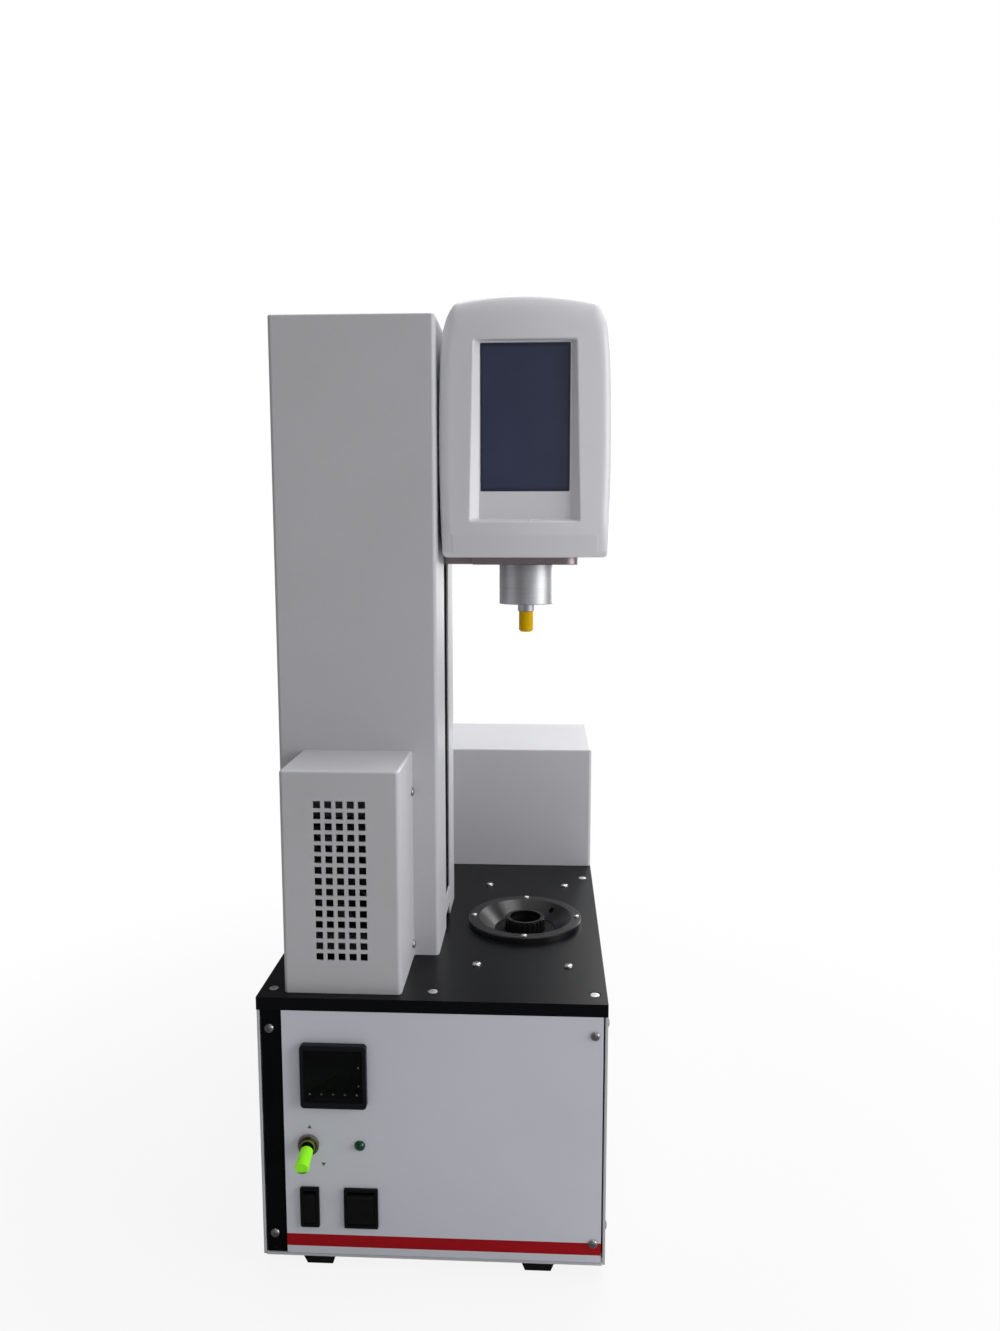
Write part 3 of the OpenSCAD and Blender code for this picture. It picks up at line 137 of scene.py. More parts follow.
class Wire:
    """An output socket that can be used in Python sums."""

    def __init__(self, tree, socket):
        self.tree = tree
        self.socket = socket

    def maths(self, operation, *terms):
        node = self.tree.nodes.new("ShaderNodeMath")
        node.operation = operation
        for place, term in enumerate(terms):
            plug(self.tree, node.inputs[place], term)
        return Wire(self.tree, node.outputs[0])

    def __add__(self, other):
        return self.maths("ADD", self, other)

    def __radd__(self, other):
        return self.maths("ADD", other, self)

    def __sub__(self, other):
        return self.maths("SUBTRACT", self, other)

    def __rsub__(self, other):
        return self.maths("SUBTRACT", other, self)

    def __mul__(self, other):
        return self.maths("MULTIPLY", self, other)

    def __rmul__(self, other):
        return self.maths("MULTIPLY", other, self)

    def __gt__(self, other):
        return self.maths("GREATER_THAN", self, other)

    def __lt__(self, other):
        return self.maths("LESS_THAN", self, other)


def plug(tree, socket, value):
    """Links a wire to a socket, or sets a plain value on it."""
    if isinstance(value, Wire):
        tree.links.new(value.socket, socket)
    elif isinstance(value, (tuple, list, Vector)) and socket.type == "RGBA":
        socket.default_value = (*value[:3], 1)
    else:
        socket.default_value = value


class Finish:
    """A material built on the principled shader."""

    def __init__(self, name):
        self.material = bpy.data.materials.new(name)
        self.material.use_nodes = True
        self.tree = self.material.node_tree
        self.shader = next(n for n in self.tree.nodes if n.type == "BSDF_PRINCIPLED")

    def node(self, kind, settings=None, output=0, **values):
        """Adds a node: its settings first, then the values or wires of its sockets."""
        node = self.tree.nodes.new(kind)
        for key, value in (settings or {}).items():
            setattr(node, key, value)
        for key, value in values.items():
            names = [s for s in node.inputs if s.name.replace(" ", "_") == key and s.enabled]
            plug(self.tree, names[0], value)
        return Wire(self.tree, [s for s in node.outputs if s.enabled][output])

    def place(self, scale=(1, 1, 1)):
        """Object coordinates, stretched."""
        coords = self.node("ShaderNodeTexCoord")
        socket = next(s for s in coords.socket.node.outputs if s.name == "Object")
        return self.node("ShaderNodeMapping", Vector=Wire(self.tree, socket), Scale=scale)

    def axis(self, letter):
        """One object coordinate as a number."""
        split = self.node("ShaderNodeSeparateXYZ", Vector=self.place())
        return Wire(self.tree, split.socket.node.outputs["XYZ".index(letter)])

    def noise(self, scale, detail=2.0, stretch=(1, 1, 1)):
        """Noise from 0 to 1, stretched along the axes whose factor is small."""
        return self.node("ShaderNodeTexNoise", Vector=self.place(stretch), Scale=scale, Detail=detail)

    def blend(self, factor, first, second):
        """Colour between two colours."""
        node = self.tree.nodes.new("ShaderNodeMix")
        node.data_type = "RGBA"
        colours = [s for s in node.inputs if s.type == "RGBA"]
        plug(self.tree, node.inputs[0], factor)
        plug(self.tree, colours[0], first)
        plug(self.tree, colours[1], second)
        return Wire(self.tree, next(s for s in node.outputs if s.type == "RGBA"))

    def shades(self, wire, colour, spread):
        """The colour, a little darker and lighter as the wire says."""
        dark = tuple(c * (1 - spread) for c in colour)
        light = tuple(min(1, c * (1 + spread)) for c in colour)
        return self.blend(self.within(wire, 0.3, 0.7), dark, light)

    def within(self, wire, low, high):
        """0 below low, 1 above high."""
        return self.node("ShaderNodeMapRange", Value=wire, From_Min=low, From_Max=high)

    def bump(self, height, strength, distance):
        """A normal that follows a height."""
        return self.node("ShaderNodeBump", Strength=strength, Distance=distance, Height=height)

    def surface(self, **sockets):
        """Sets the shader's sockets and gives the finished material."""
        for key, value in sockets.items():
            plug(self.tree, self.shader.inputs[key.replace("_", " ")], value)
        return self.material


def powder_coat(name, colour):
    """Textured powder coat on sheet metal."""
    f = Finish(name)
    cloud = f.noise(9, 3)
    peel = f.noise(620, 3)
    grain = f.noise(1900, 2)
    return f.surface(
        Base_Color=f.shades(cloud * 0.7 + peel * 0.3, colour, 0.035),
        Roughness=0.36 + 0.1 * f.noise(40, 3),
        Normal=f.bump(peel * 0.7 + grain * 0.3, 0.16, 0.0004),
        Specular_IOR_Level=0.45)


def satin_black(name, colour, rough=0.4, specular=0.26):
    """Black satin plate with a fine grain and a few specks."""
    f = Finish(name)
    grain = f.noise(1500, 2)
    speck = f.within(f.noise(420, 1), 0.76, 0.8)
    wipe = f.noise(7, 4, (1, 0.35, 1))
    ground = f.shades(wipe, colour, 0.18)
    return f.surface(
        Base_Color=f.blend(speck * 0.2, ground, (0.05, 0.05, 0.055)),
        Roughness=rough + 0.12 * wipe,
        Normal=f.bump(grain, 0.07, 0.0002),
        Specular_IOR_Level=specular)


def pan_coat(name, colour):
    """Powder coated floor pan whose upright posts, above its rim, are coloured black as painted shade in the
    gaps beside the panels.
    """
    f = Finish(name)
    # painted shade: the posts that show in the gaps beside the panels are coloured black
    painted_post_shade = f.axis("Z") > PAN_RIM
    peel = f.noise(620, 3)
    return f.surface(
        Base_Color=f.blend(painted_post_shade, f.shades(peel, colour, 0.035), (0.004, 0.004, 0.005)),
        Roughness=0.36 + 0.1 * f.noise(40, 3) + 0.3 * painted_post_shade,
        Normal=f.bump(peel, 0.16, 0.0004),
        Specular_IOR_Level=0.3)


def printed_sheet(name, colour, stripe):
    """Matt white front sheet with a plain coloured band along its foot."""
    f = Finish(name)
    height = f.axis("Z")
    band = (height > STRIPE_FOOT) * (height < STRIPE_TOP)
    cloud = f.noise(11, 3)
    tooth = f.noise(1300, 2)
    ink = f.shades(f.noise(160, 3), stripe, 0.06)
    ground = f.shades(cloud, colour, 0.02)
    return f.surface(
        Base_Color=f.blend(band, ground, ink),
        Roughness=0.5 - 0.1 * band + 0.06 * f.noise(70, 2),
        Normal=f.bump(tooth, 0.05, 0.0002),
        Specular_IOR_Level=0.18)


def moulding(name, colour, rough=0.3, tooth=0.05, scale=1400, specular=0.45, spread=0.03):
    """Moulded plastic with the fine tooth of its mould."""
    f = Finish(name)
    cloud = f.noise(16, 3)
    grain = f.noise(scale, 2)
    return f.surface(
        Base_Color=f.shades(cloud * 0.6 + grain * 0.4, colour, spread),
        Roughness=rough + 0.08 * cloud,
        Normal=f.bump(grain, tooth, 0.0002),
        Specular_IOR_Level=specular)


def well_plastic(name, colour, reach=0.0262, level=-0.0048, specular=0.4):
    """Polished black plastic; low down near the well's axis it is dull and coloured near-black, painted shade
    on the deep well floor and the collar's foot.
    """
    f = Finish(name)
    across, along = f.axis("X") - SPIN.x, f.axis("Y") - SPIN.y
    # painted shade: the deep, unlit floor of the well and the foot of the collar
    floor = (across * across + along * along < reach ** 2) * (f.axis("Z") < TOP_Z + level)
    cloud = f.noise(16, 3)
    grain = f.noise(1100, 2)
    ground = f.shades(cloud * 0.6 + grain * 0.4, colour, 0.05)
    return f.surface(
        Base_Color=f.blend(floor, ground, (0.0008, 0.0008, 0.0009)),
        Roughness=0.25 + 0.08 * cloud + 0.6 * floor,
        Normal=f.bump(grain, 0.04, 0.0002),
        Specular_IOR_Level=specular)


def brushed(name, colour, stretch, rough=0.3, spread=0.14):
    """Metal with a straight grain along the axis whose factor is small."""
    f = Finish(name)
    grain = f.noise(900, 3, stretch)
    broad = f.noise(90, 2, stretch)
    return f.surface(
        Base_Color=f.shades(grain * 0.6 + broad * 0.4, colour, spread),
        Metallic=1.0,
        Roughness=rough - 0.05 + 0.2 * grain,
        Normal=f.bump(grain, 0.12, 0.0002))


def turned(name, colour, rough=0.24):
    """Lathe turned metal: rings across the upright axis."""
    f = Finish(name)
    rings = f.noise(1, 3, (12, 12, 2600))
    broad = f.noise(1, 2, (20, 20, 240))
    return f.surface(
        Base_Color=f.shades(rings * 0.5 + broad * 0.5, colour, 0.1),
        Metallic=1.0,
        Roughness=rough + 0.12 * rings,
        Normal=f.bump(rings, 0.1, 0.0001))


def plated(name, colour, rough=0.16):
    """Bright plated steel with faint handling marks."""
    f = Finish(name)
    wear = f.noise(260, 4)
    return f.surface(
        Base_Color=f.shades(wear, colour, 0.09),
        Metallic=1.0,
        Roughness=rough + 0.16 * f.within(wear, 0.45, 0.7),
        Normal=f.bump(f.noise(700, 2), 0.05, 0.0002))


def rubber(name, colour):
    """Dull rubber with a dusty bloom."""
    f = Finish(name)
    bloom = f.noise(55, 4)
    return f.surface(
        Base_Color=f.shades(bloom, colour, 0.35),
        Roughness=0.72 + 0.15 * bloom,
        Normal=f.bump(f.noise(900, 3), 0.2, 0.0003),
        Specular_IOR_Level=0.25)


def soft_sleeve(name, colour):
    """Bright soft sleeve that glows faintly in its own colour as painted glow, with painted shade darkening
    its underside near its end.
    """
    f = Finish(name)
    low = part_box("toggle_sleeve")[0]
    ragged = 0.0016 * f.noise(420, 2)
    # painted shade: darker on the underside near the sleeve's end, with a ragged border
    underside_shade = 1 - f.within(f.axis("Z") + ragged, low.z + 0.0020, low.z + 0.0036)
    tip_shade = underside_shade * (1 - f.within(f.axis("Y"), low.y + 0.0030, low.y + 0.0042))
    flow = f.noise(300, 3)
    dark = tuple(c * 0.22 for c in colour)
    return f.surface(
        Base_Color=f.blend(tip_shade * 0.95, f.shades(flow, colour, 0.07), dark),
        # painted glow: the sleeve emits its own colour, except at its shaded end
        Emission_Color=f.blend(tip_shade, colour, (0, 0, 0)), Emission_Strength=0.22,
        Roughness=0.34 + 0.1 * flow,
        Normal=f.bump(flow, 0.06, 0.0002),
        Specular_IOR_Level=0.4)


def lens(name, colour):
    """Ribbed coloured lens."""
    f = Finish(name)
    ribs = f.node("ShaderNodeTexVoronoi", Vector=f.place(), Scale=1100.0)
    return f.surface(
        Base_Color=f.shades(ribs, colour, 0.3),
        Roughness=0.12 + 0.1 * f.noise(500, 2),
        Normal=f.bump(ribs, 0.18, 0.0003),
        Coat_Weight=0.3, Coat_Roughness=0.05)


def display_face(name):
    """Dark display with a slightly lighter lit field inside its border."""
    f = Finish(name)
    low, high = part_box("display_panel")
    mid = (low + high) / 2
    across = f.node("ShaderNodeMath", {"operation": "ABSOLUTE"}, Value=f.axis("X") - mid.x)
    upright = f.node("ShaderNodeMath", {"operation": "ABSOLUTE"}, Value=f.axis("Z") - mid.z)
    field = (across < LIT_HALF_WIDE) * (upright < LIT_HALF_TALL)
    lines = f.noise(1, 2, (8, 1, 3200))
    haze = f.noise(26, 3)
    ground = f.shades(haze, (0.046, 0.053, 0.100), 0.05)
    border = f.shades(haze, (0.036, 0.041, 0.076), 0.05)
    return f.surface(
        Base_Color=f.blend(field, border, ground),
        Roughness=0.16 + 0.06 * haze,
        Normal=f.bump(lines, 0.02, 0.0001),
        Specular_IOR_Level=0.25)


def circuit_board(name):
    """Green board with pale tracks."""
    f = Finish(name)
    tracks = f.within(f.noise(130, 0, (1, 0.2, 1)), 0.5, 0.53)
    return f.surface(
        Base_Color=f.blend(tracks, (0.012, 0.075, 0.03), (0.03, 0.16, 0.06)),
        Roughness=0.35 + 0.15 * tracks,
        Normal=f.bump(tracks, 0.1, 0.0002))


def cell_foam(name):
    """Closed cell foam."""
    f = Finish(name)
    cells = f.node("ShaderNodeTexVoronoi", Vector=f.place(), Scale=520.0)
    return f.surface(
        Base_Color=f.shades(cells, (0.03, 0.03, 0.032), 0.3),
        Roughness=0.85 + 0.1 * cells,
        Normal=f.bump(cells, 0.35, 0.0006),
        Specular_IOR_Level=0.2)


FINISHES = {}


def make_finishes(colours):
    """All the finishes, by the record's slot or by their own name."""
    FINISHES.update({
        "white_paint": powder_coat("powder_coat", tuple(colours.coat)),
        # the floor pan's finish paints shade on its posts, in the gaps beside the panels
        "pan_coat": pan_coat("pan_coat", tuple(colours.coat)),
        "black_paint": satin_black("satin_black", tuple(colours.black), 0.3, 0.15),
        "panel_black": satin_black("panel_black", tuple(colours.black), 0.5, 0.08),
        "front_print": printed_sheet("front_sheet_print", tuple(colours.panel), tuple(colours.stripe)),
        "white_plastic": moulding("head_plastic", tuple(colours.head), 0.26, 0.03, 1500, 0.4, spread=0.004),
        "black_plastic": moulding("black_plastic", (0.0065, 0.0065, 0.0078), 0.42, 0.1, 1300, 0.15),
        # the funnel and collar finishes paint shade low down in the well
        "funnel_black": well_plastic("funnel_black", (0.008, 0.008, 0.009)),
        "collar_black": well_plastic("collar_black", (0.003, 0.003, 0.0035), 0.0182, 0.0012),
        "grey_plastic": moulding("grey_plastic", (0.028, 0.028, 0.031), 0.5, 0.1, 1300, 0.3),
        "dark_window": moulding("dark_window", (0.0045, 0.0047, 0.0055), 0.34, 0.01, 900, 0.06),
        "black_rubber": rubber("black_rubber", (0.008, 0.008, 0.008)),
        "steel": brushed("ground_steel", (0.55, 0.55, 0.56), (1, 1, 0.02)),
        "screw_steel": plated("screw_steel", (0.47, 0.455, 0.465), 0.33),
        "flush_steel": plated("flush_steel", (0.62, 0.62, 0.63), 0.42),
        "aluminium": brushed("machined_aluminium", (0.62, 0.63, 0.65), (1, 1, 0.03)),
        "guard_metal": turned("guard_metal", (0.66, 0.665, 0.69), 0.46),
        "plate_metal": brushed("plate_metal", (0.42, 0.345, 0.365), (0.02, 1, 1), 0.4),
        "brass": plated("brass", (0.62, 0.42, 0.14)),
        "bushing_metal": plated("bushing_metal", (0.36, 0.31, 0.26), 0.24),
        # the sleeve's finish paints a faint glow and shade on its underside end
        "lime_sleeve": soft_sleeve("lime_sleeve", tuple(colours.sleeve)),
        "green_lens": lens("green_lens", tuple(colours.lens)),
        "yellow_plastic": moulding("yellow_plastic", tuple(colours.cap), 0.4, 0.04, 900, 0.06),
        "display_glass": display_face("display_face"),
        "foam": cell_foam("cell_foam"),
        "ceramic": moulding("module_ceramic", (0.70, 0.70, 0.68), 0.5, 0.1, 1700, 0.3),
        "board": circuit_board("circuit_board"),
        "mark_grey": moulding("mark_grey", (0.12, 0.12, 0.13), 0.5, 0.02, 900, 0.3),
        "mark_dark": moulding("mark_dark", (0.11, 0.11, 0.125), 0.55, 0.02, 900, 0.3),
        "bezel_sheen": moulding("bezel_plastic", (0.0085, 0.0085, 0.0115), 0.32, 0.07, 1500, 0.2),
    })


# Modelling helpers


def object_mode():
    """Leaves edit mode, if it is on."""
    if bpy.context.object and bpy.context.object.mode != "OBJECT":
        bpy.ops.object.mode_set(mode="OBJECT")


def nothing_selected():
    """Leaves edit mode and clears the selection."""
    object_mode()
    bpy.ops.object.select_all(action="DESELECT")


def only(ob):
    """Makes one object the selected and active one."""
    nothing_selected()
    ob.hide_set(False)
    ob.select_set(True)
    bpy.context.view_layer.objects.active = ob
    return ob


def edit(ob):
    """Opens one object in edit mode with all of it selected."""
    only(ob)
    bpy.ops.object.mode_set(mode="EDIT")
    bpy.ops.mesh.select_mode(type="VERT")
    bpy.ops.mesh.select_all(action="SELECT")


def pick(ob, kind, test):
    """Selects the edges or faces of a mesh that pass a test on their corners, in edit mode."""
    only(ob)
    modes = {"EDGE": (False, True, False), "FACE": (False, False, True)}
    bpy.context.tool_settings.mesh_select_mode = modes[kind]
    mesh = ob.data
    for part in (mesh.vertices, mesh.edges, mesh.polygons):
        part.foreach_set("select", [False] * len(part))
    found = 0
    for item in mesh.edges if kind == "EDGE" else mesh.polygons:
        corners = [mesh.vertices[i].co for i in item.vertices]
        if test(corners) if kind == "EDGE" else test(corners, item.normal):
            item.select = True
            found += 1
    if not found:
        raise RuntimeError(f"nothing to shape on {ob.name}")
    bpy.ops.object.mode_set(mode="EDIT")


def cad_copy(node, name, whole_faces=True):
    """A merged copy of a CAD node as the start of a finer piece.

    Flat triangles become whole faces. A sheet full of holes keeps its triangles,
    because a whole face with many holes tears when its edges are broken.
    """
    ob = bpy.data.objects.new(name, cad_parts[node].data.copy())
    bpy.context.scene.collection.objects.link(ob)
    edit(ob)
    bpy.ops.mesh.remove_doubles(threshold=2e-6)
    if whole_faces:
        bpy.ops.mesh.dissolve_limited(angle_limit=radians(0.4))
    object_mode()
    if ob.data.has_custom_normals:
        bpy.ops.mesh.customdata_custom_splitnormals_clear()
    return ob


def modify(ob, kind, **settings):
    """Adds a modifier and applies it."""
    only(ob)
    modifier = ob.modifiers.new(kind.lower(), kind)
    for key, value in settings.items():
        setattr(modifier, key, value)
    bpy.ops.object.modifier_apply(modifier=modifier.name)


def smooth(ob, angle=35):
    """Smooth shading with crisp edges, weighted by face size."""
    only(ob)
    bpy.ops.object.shade_smooth_by_angle(angle=radians(angle))
    modify(ob, "WEIGHTED_NORMAL", mode="FACE_AREA", weight=80, keep_sharp=True)


def settle(ob, body, slot, finish=None, replaces=()):
    """Applies the piece's place, gives it its finish and lets it ride on its body."""
    only(ob)
    bpy.ops.object.transform_apply(location=True, rotation=True, scale=True)
    ob.data.materials.clear()
    ob.data.materials.append(FINISHES[finish or slot])
    for polygon in ob.data.polygons:
        polygon.material_index = 0
    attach(ob, body)
    if replaces:
        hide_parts(*replaces)
    return ob


def soften(node, body, slot, width, segments=2, angle=35, finish=None, whole_faces=True):
    """A CAD node's shape with its edges broken."""
    ob = cad_copy(node, node + "_dressed", whole_faces)
    modify(ob, "BEVEL", width=width, segments=segments, limit_method="ANGLE",
           angle_limit=radians(angle), harden_normals=False, miter_outer="MITER_ARC")
    smooth(ob)
    return settle(ob, body, slot, finish, (node,))


def edged_sheet(node, body, slot, width):
    """A cut sheet with its outer edges broken; its vents and screw holes stay crisp."""
    ob = cad_copy(node, node + "_dressed", False)
    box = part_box(node)
    pick(ob, "EDGE", lambda c: sum(all(abs(p[axis] - corner[axis]) < 1e-6 for p in c)
                                   for axis in range(3) for corner in box) > 1)
    bpy.ops.mesh.bevel(offset=width, segments=2, affect="EDGES")
    object_mode()
    smooth(ob)
    return settle(ob, body, slot, None, (node,))


def paint(node, finish):
    """Gives a CAD node its finish."""
    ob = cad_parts[node]
    if not ob.material_slots:
        ob.data.materials.append(None)
    for spot in ob.material_slots:
        spot.material = FINISHES[finish]


def at(x, y, z):
    """A place in millimetres from the cabinet's middle, the front panel and the bench."""
    return Vector((x * MM, PANEL_Y + y * MM, z * MM))


def joined(objects, name):
    """Several objects as one."""
    nothing_selected()
    for ob in objects:
        ob.select_set(True)
    bpy.context.view_layer.objects.active = objects[0]
    bpy.ops.object.join()
    objects[0].name = name
    return objects[0]


def placed_copy(ob, place, turn=(0, 0, 0)):
    """A copy with its own mesh, turned and then moved."""
    twin = ob.copy()
    twin.data = ob.data.copy()
    bpy.context.scene.collection.objects.link(twin)
    twin.rotation_euler = turn
    twin.location = place
    return twin


def turned_piece(name, profile, sides=48):
    """A closed piece of revolution about the upright axis, from radius and height pairs in mm."""
    nothing_selected()
    radius, height = profile[0]
    bpy.ops.mesh.primitive_circle_add(vertices=sides, radius=radius * MM, fill_type="NGON",
                                      location=(0, 0, 0))
    ob = bpy.context.object
    ob.name = name
    for vertex in ob.data.vertices:
        vertex.co.z = height * MM
    for r, z in profile[1:]:
        pick(ob, "FACE", lambda c, n, h=height: all(abs(p.z - h * MM) < 1e-7 for p in c) and len(c) == sides)
        bpy.ops.mesh.extrude_region_move(TRANSFORM_OT_translate={"value": (0, 0, (z - height) * MM)})
        bpy.ops.transform.resize(value=(r / radius, r / radius, 1), center_override=(0, 0, z * MM))
        object_mode()
        radius, height = r, z
    return ob


def loft(name, rings):
    """A closed skin through rings of matched points: the first and last ring are capped."""
    count = len(rings[0])
    nothing_selected()
    bpy.ops.mesh.primitive_circle_add(vertices=count, radius=0.1, fill_type="NGON")
    ob = bpy.context.object
    ob.name = name
    for vertex, place in zip(ob.data.vertices, rings[0]):
        vertex.co = place
    for before, after in zip(rings, rings[1:]):
        bpy.ops.object.mode_set(mode="EDIT")
        if before is rings[0]:
            bpy.ops.mesh.select_all(action="SELECT")
        bpy.ops.mesh.extrude_region_move()
        object_mode()
        places = [Vector(place) for place in before]
        for vertex in ob.data.vertices:
            if vertex.select:
                near = min(range(count), key=lambda i: (places[i] - vertex.co).length_squared)
                vertex.co = after[near]
    edit(ob)
    bpy.ops.mesh.normals_make_consistent(inside=False)
    object_mode()
    return ob


def plain_box(name, low, high, edge, segments=2):
    """A box between two corners in metres, with rounded edges."""
    nothing_selected()
    bpy.ops.mesh.primitive_cube_add(size=1, location=(low + high) / 2)
    ob = bpy.context.object
    ob.name = name
    ob.scale = high - low
    bpy.ops.object.transform_apply(location=True, rotation=True, scale=True)
    edit(ob)
    bpy.ops.mesh.bevel(offset=edge, segments=segments, affect="EDGES")
    object_mode()
    smooth(ob)
    return ob


def folded(node, name, body, fold, back_open=False):
    """A folded sheet cover: the CAD node's shape with its top edges rolled."""
    ob = cad_copy(node, name)
    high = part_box(node)[1]
    pick(ob, "EDGE", lambda c: all(abs(p.z - high.z) < 1e-6 for p in c)
         and not (back_open and all(abs(p.y - high.y) < 1e-5 for p in c)))
    bpy.ops.mesh.bevel(offset=fold, segments=4, affect="EDGES")
    object_mode()
    modify(ob, "BEVEL", width=0.00025, segments=1, limit_method="ANGLE", angle_limit=radians(60))
    smooth(ob, 30)
    return settle(ob, body, "white_paint", None, (node,))


# Head outline, in millimetres from the spindle axis and the head's underside

HEAD_LOW, HEAD_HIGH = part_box("head_front_shell")
HEAD_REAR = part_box("head_rear_shell")[1].y
HEAD_HALF = (HEAD_HIGH.x - HEAD_LOW.x) / 2 / MM
HEAD_TALL = (HEAD_HIGH.z - HEAD_LOW.z) / MM
HEAD_X = (HEAD_LOW.x + HEAD_HIGH.x) / 2
WIDEST, BOW, CROWN, HEEL = 82.0, 2.3, 4.4, 4.0
SHOULDER_CURVE = ((0.5, 26.0), (1.3, 20.0), (2.8, 14.5), (4.6, 9.8), (6.4, 6.2), (8.2, 3.6),
                  (9.6, 1.9), (10.8, 0.9), (12.2, 0.3), (14.0, 0.0))  # in from the side, down from the roof
SHOULDER, SHOULDER_TALL = SHOULDER_CURVE[-1][0], SHOULDER_CURVE[0][1]
RECESS_MOUTH = (40.9, 37.7, 27.0, 159.5)  # half width at the foot and at the top, foot, top
RECESS_FLOOR = (34.8, 34.4, 29.2, 158.7)
SCREEN_OPENING = (33.6, 33.6, 49.5, 158.2)
DISPLAY_FRONT, DISPLAY_BACK, DISPLAY_GAP = 8.7, 10.5, 0.1
NUB_X, NUB_IN, NUB_Z = 67.2, 3.5, 550.0  # small knob on the frame under the screen, in the part's frame


def head_half(h):
    """Half the head's width at a height."""
    return HEAD_HALF - BOW * ((h - WIDEST) / WIDEST) ** 2


def arc(cx, cz, r, start, stop, steps):
    """Points of an arc, angles in degrees."""
    turns = [radians(start + (stop - start) * i / steps) for i in range(steps + 1)]
    return [(cx + r * cos(a), cz + r * sin(a)) for a in turns]


def both_sides(right):
    """A ring from its right half, which runs from the bottom middle to the top middle."""
    return right + [(-x, h) for x, h in reversed(right[1:-1])]


def head_ring(inset, top, base):
    """The head's outline taken in at the sides, at the top and at the foot."""
    heel = max(HEEL - inset * 0.2, 1.2)
    foot = head_half(base + heel) - inset
    edge = HEAD_TALL - CROWN - top
    tight = 1 / (1 + inset * 0.12)
    centre = edge - SHOULDER_TALL * tight
    side_x = head_half(HEAD_TALL - SHOULDER_TALL) - inset
    shoulder = side_x - SHOULDER * tight
    flat = [((foot - heel) * i / 3, base) for i in range(3)]
    low = arc(foot - heel, base + heel, heel, -90, 0, 5)
    start = base + heel
    side = [(head_half(start + (centre - start) * i / 12) - inset,
             start + (centre - start) * i / 12) for i in range(1, 12)]
    turn = [(side_x - x * tight, edge - z * tight) for x, z in SHOULDER_CURVE]
    roof = [(shoulder * (1 - i / 5), HEAD_TALL - top - CROWN * (1 - i / 5) ** 2) for i in range(1, 6)]
    return both_sides(flat + low + side + turn + roof)


def frame_ring(frame_sizes, grow, r):
    """A frame with upright or slanting sides and round corners, grown all round, matched to head_ring."""
    low_half, high_half, low, high = (size + grow * sign for size, sign in zip(frame_sizes, (1, 1, -1, 1)))
    flat = [((low_half - r) * i / 3, low) for i in range(3)]
    foot = arc(low_half - r, low + r, r, -90, 0, 5)
    start, stop = low + r, high - r
    side = [(low_half + (high_half - low_half) * i / 12, start + (stop - start) * i / 12)
            for i in range(1, 12)]
    turn = arc(high_half - r, high - r, r, 0, 90, 9)
    roof = [((high_half - r) * (1 - i / 5), high) for i in range(1, 6)]
    return both_sides(flat + foot + side + turn + roof)


def seam_rings(y, way):
    """The rounded back edge of a shell at its seam, from the seam in to the shell's own outline."""
    return [upright(head_ring(inset, inset, inset), y + way * step * MM)
            for inset, step in ((0.6, 0.05), (0.6, 0.6), (0, 0.9))]


def upright(ring, y, chin=0.0, drop=0.0, crown=0.0):
    """A ring stood up at a depth in metres; it falls back below the chin line and towards the sides."""
    places = []
    for x, h in ring:
        back = drop * max(0.0, 1 - h / chin) if chin else 0.0
        deep = max(y, HEAD_LOW.y + back) if back else y
        places.append((HEAD_X + x * MM, deep + crown * (x / HEAD_HALF) ** 2, HEAD_LOW.z + h * MM))
    return places


# Pieces


CAD_FINISHES = {
    "chassis": "pan_coat", "front_sheet": "front_print",
    **{f"controller_key_{i}": "dark_window" for i in range(1, 6)},
    "power_supply": "aluminium", "driver_board": "board",
    "cooling_block": "aluminium", "block_insulation": "foam", "cooling_modules": "ceramic",
    "heat_sinks": "aluminium", "cooling_fan_frames": "black_plastic",
    "cooling_rotor_front": "black_plastic", "cooling_rotor_rear": "black_plastic",
    "temperature_probe": "steel", "lift_frame": "black_paint", "guide_rods": "steel",
    "lead_screw": "steel", "lift_motor": "black_paint", "carriage": "aluminium",
    "lift_nut": "brass", "box_fan_frame": "black_plastic", "box_fan_rotor": "black_plastic",
    "drive_motor": "grey_plastic",
}


class VISCOMETER_OT_finishes(bpy.types.Operator):
    """Make the finishes and give them to the CAD nodes that keep their shape"""

    bl_idname = "viscometer.finishes"
    bl_label = "Finishes"

    def execute(self, context):
        make_finishes(context.scene.viscometer_finishes)
        for node, finish in CAD_FINISHES.items():
            paint(node, finish)
        return {"FINISHED"}


class VISCOMETER_OT_cabinet(bpy.types.Operator):
    """Panels, side covers and feet of the cabinet"""

    bl_idname = "viscometer.cabinet"
    bl_label = "Cabinet"

    def execute(self, context):
        edge = context.scene.viscometer_shapes.break_edge
        soften("front_panel", "cabinet", "black_paint", edge * 0.5, finish="panel_black")
        for node in ("side_cover_left", "side_cover_right", "rear_panel"):
            edged_sheet(node, "cabinet", "white_paint", edge * 0.6)
        soften("feet", "cabinet", "black_rubber", edge * 2, 3)
        return {"FINISHED"}


class VISCOMETER_OT_top_plate(bpy.types.Operator):
    """Thick black top plate with broken edges"""

    bl_idname = "viscometer.top_plate"
    bl_label = "Top plate"

    def execute(self, context):
        soften("top_plate", "cabinet", "black_paint", context.scene.viscometer_shapes.break_edge)
        return {"FINISHED"}


def cross_recess(ob, wide, thin, height, depth):
    """Cuts a cross of two slots into a screw that stands on the origin."""
    for size in ((wide, thin), (thin, wide)):
        nothing_selected()
        bpy.ops.mesh.primitive_cube_add(size=1, location=(0, 0, height * MM))
        blade = bpy.context.object
        blade.scale = (size[0] * MM, size[1] * MM, depth * 2 * MM)
        bpy.ops.object.transform_apply(location=True, rotation=True, scale=True)
        modify(ob, "BOOLEAN", operation="DIFFERENCE", solver="EXACT", object=blade)
        bpy.data.objects.remove(blade)


